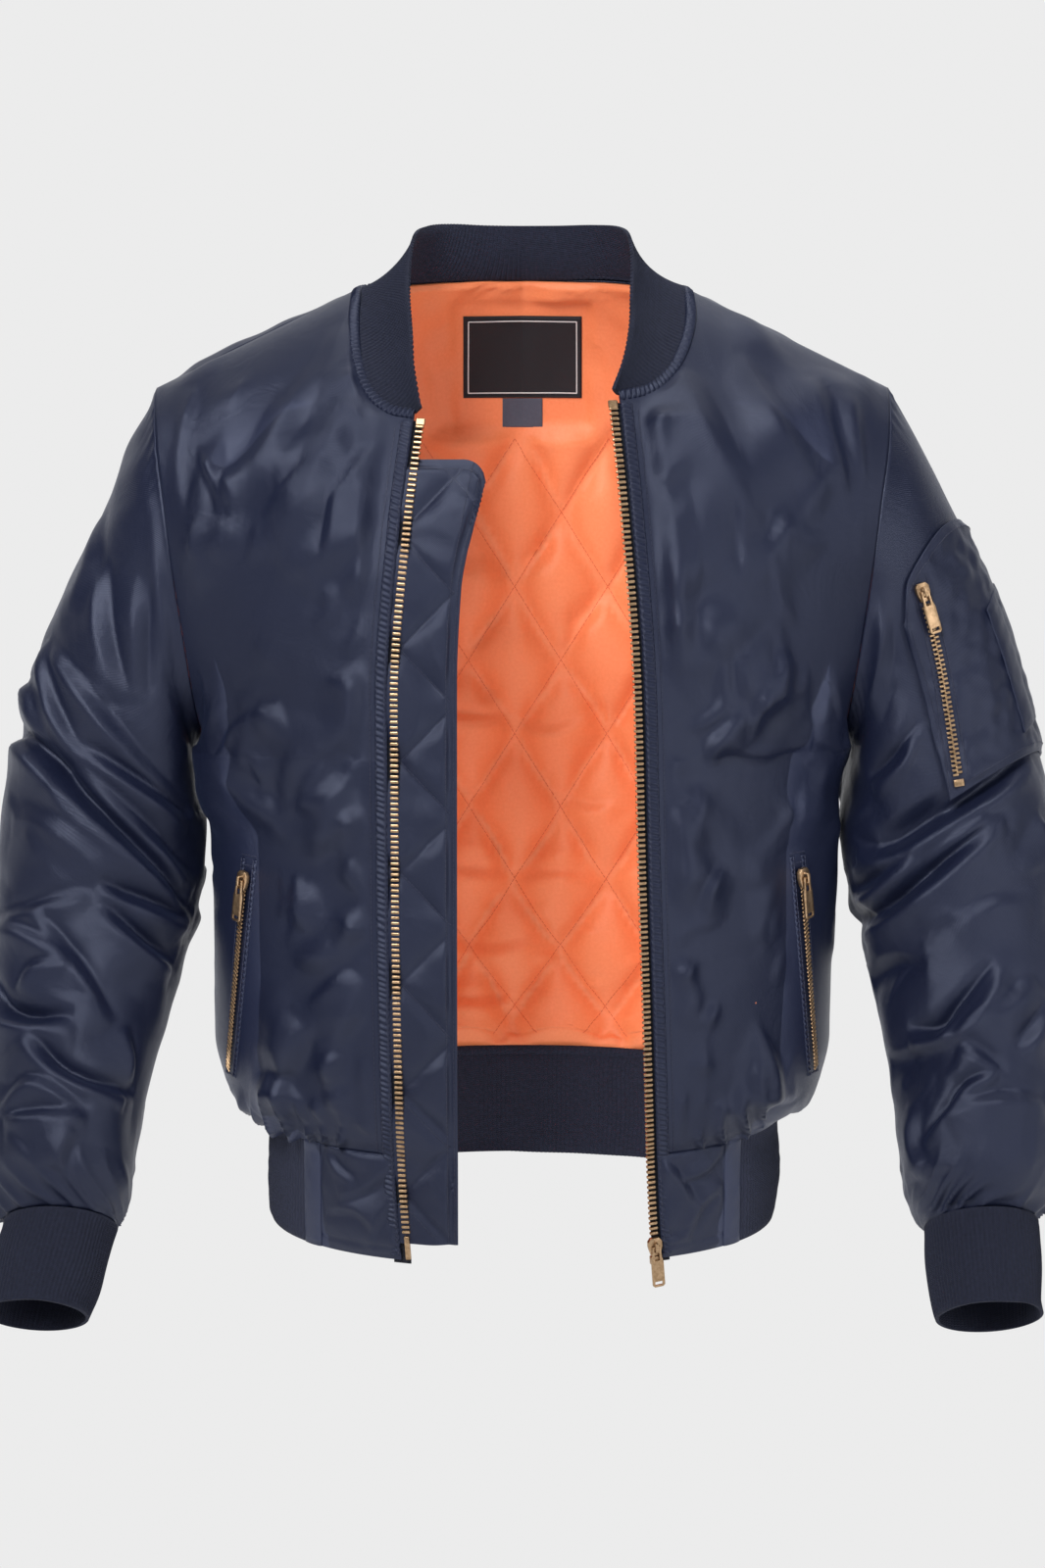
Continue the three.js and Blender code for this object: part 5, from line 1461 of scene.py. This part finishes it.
# ---- label's woven frame and edge stitching ----
lineUnit = smallBlock("woven line", 0.9, 2.4, 0.3, 0.1)


def aroundLabel(inset):
    # the label's four sides, set in from its edge
    left, right = inset - labelCut["half"], labelCut["half"] - inset
    top, bottom = labelCut["top"] - inset, labelCut["bottom"] + inset
    corners = [(left, top), (right, top), (right, bottom), (left, bottom), (left, top)]
    t = np.linspace(0, 1, 80)
    for (x0, z0), (x1, z1) in zip(corners[:-1], corners[1:]):
        yield lifted(lambda out: torsoPoint(1, mix(x0, x1, t), mix(z0, z1, t), out), -(liningDepth + 1.1), -1)


bm = bmesh.new()
for path, ups in aroundLabel(labelCut["inset"]):
    scatterAlong(bm, lineUnit, *resample(onShell(path, ups, labelPiece, 0.15), ups, 2.2))
joined("label_frame_line", bm, labelLine, "label")
bm = bmesh.new()
for route in aroundLabel(labelCut["hem"]):
    stitchOn(bm, labelPiece, route, 2.9, 0.1)
joined("label_stitches", bm, labelCloth, "label")

# stitches in the quilting's valleys, only where the inside of the back shows
bm = bmesh.new()
stitchDiamonds(bm, quilt, range(-8, 9), -580, quilt["apexZ"], lambda x, z: np.abs(x) < 150, 20, 1,
               -liningDepth, backLining, 0.05)
joined("lining_stitches", bm, orangeThread, "lining")
print("pockets, label and stitches ready")


# ---- sliders, pulls and end pieces ----
def refineMetal(node, body="jacket", width=0.3):
    bm = bmesh.new()
    bm.from_mesh(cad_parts[node].data)
    bmesh.ops.remove_doubles(bm, verts=bm.verts, dist=1e-6)
    bmesh.ops.dissolve_limit(bm, angle_limit=math.radians(2), verts=bm.verts, edges=bm.edges)
    sharp = [edge for edge in bm.edges
             if len(edge.link_faces) == 2 and edge.calc_face_angle(0) > math.radians(25)]
    bmesh.ops.bevel(bm, geom=sharp, offset=width * mm, offset_type="OFFSET", segments=2, profile=0.5,
                    affect="EDGES", material=-1, clamp_overlap=True)
    piece = linkPiece(node + "_brass", bm, brass)
    piece.data.set_sharp_from_angle(angle=math.radians(40))
    return dress(piece, "brass", node, body=body)


for label in ("front_zip", "pocket_right", "pocket_left", "sleeve"):
    refineMetal(label + "_slider")
    refineMetal(label + "_pull", body=label + "_pull_tab")
refineMetal("zip_box", width=0.6)
refineMetal("zip_pin", width=0.5)
refineMetal("sleeve_stop", width=0.4)
print("metal ready")


# ---- studio and camera ----
studio = {"glow": 0.838, "world": 0.10, "key": 66, "fill": 19, "rim": 20, "front": 7, "inside": 0.50}


def studioSweep():
    # pale floor that curves up into the wall behind
    bm = bmesh.new()
    bmesh.ops.create_grid(bm, x_segments=1, y_segments=40, size=1)
    for vert in bm.verts:
        t = (vert.co.y + 1) / 2
        bend = min(max((t - 0.45) / 0.2, 0), 1) * math.pi / 2
        y = -8.0 + min(t, 0.45) / 0.45 * 13.0 + 1.0 * math.sin(bend)
        z = -1.25 + 1.0 * (1 - math.cos(bend)) + max(t - 0.65, 0) / 0.35 * 7.0
        vert.co = (vert.co.x * 9, y, z)
    material, nodes, links, shader = startMaterial("studio paper")
    shader.inputs["Base Color"].default_value = (0, 0, 0, 1)
    shader.inputs["Specular IOR Level"].default_value = 0
    shader.inputs["Roughness"].default_value = 0.95
    shader.inputs["Emission Color"].default_value = (1, 1, 1, 1)
    shader.inputs["Emission Strength"].default_value = studio["glow"]
    sweep = linkPiece("studio_sweep", bm, material)


def softLight(name, place, aim, size, power):
    light = bpy.data.lights.new(name, "AREA")
    light.shape = "RECTANGLE"
    light.size, light.size_y = size
    light.energy = power
    lamp = bpy.data.objects.new(name, light)
    lamp.location = place
    lamp.rotation_mode = "QUATERNION"
    lamp.rotation_quaternion = (Vector(aim) - Vector(place)).to_track_quat("-Z", "Y")
    scene.collection.objects.link(lamp)
    return lamp


studioSweep()
middle = Vector((0, 0, -0.353))
softLight("key", (-1.0, -2.1, 1.5), middle, (1.0, 1.0), studio["key"])
softLight("fill", (1.9, -1.6, 0.2), middle, (1.0, 1.8), studio["fill"])
softLight("front", (-0.4, -2.4, 0.8), middle, (1.0, 0.8), studio["front"])
softLight("top", (0.2, 0.4, 1.9), middle, (2.0, 1.2), studio["rim"])
liningLight = softLight("inside", (0, -0.085, -0.39), Vector((0, 1, -0.39)), (0.42, 0.62), studio["inside"])
liningLight.visible_camera = False
world = bpy.data.worlds.new("studio air")
world.use_nodes = True
world.node_tree.nodes["Background"].inputs["Color"].default_value = (1, 1, 1, 1)
world.node_tree.nodes["Background"].inputs["Strength"].default_value = studio["world"]
scene.world = world
scene.view_settings.view_transform = "Standard"

view = {"distance": 2.2, "elevation": 8, "lens": 70.7}
lens = bpy.data.cameras.new("camera")
lens.lens = view["lens"]
lens.sensor_width = 36
camera = bpy.data.objects.new("camera", lens)
lift = math.radians(view["elevation"])
camera.location = middle + Vector((0, -math.cos(lift), math.sin(lift))) * view["distance"]
camera.rotation_mode = "QUATERNION"
camera.rotation_quaternion = (middle - camera.location).to_track_quat("-Z", "Y")
scene.collection.objects.link(camera)
scene.camera = camera

bpy.context.view_layer.update()
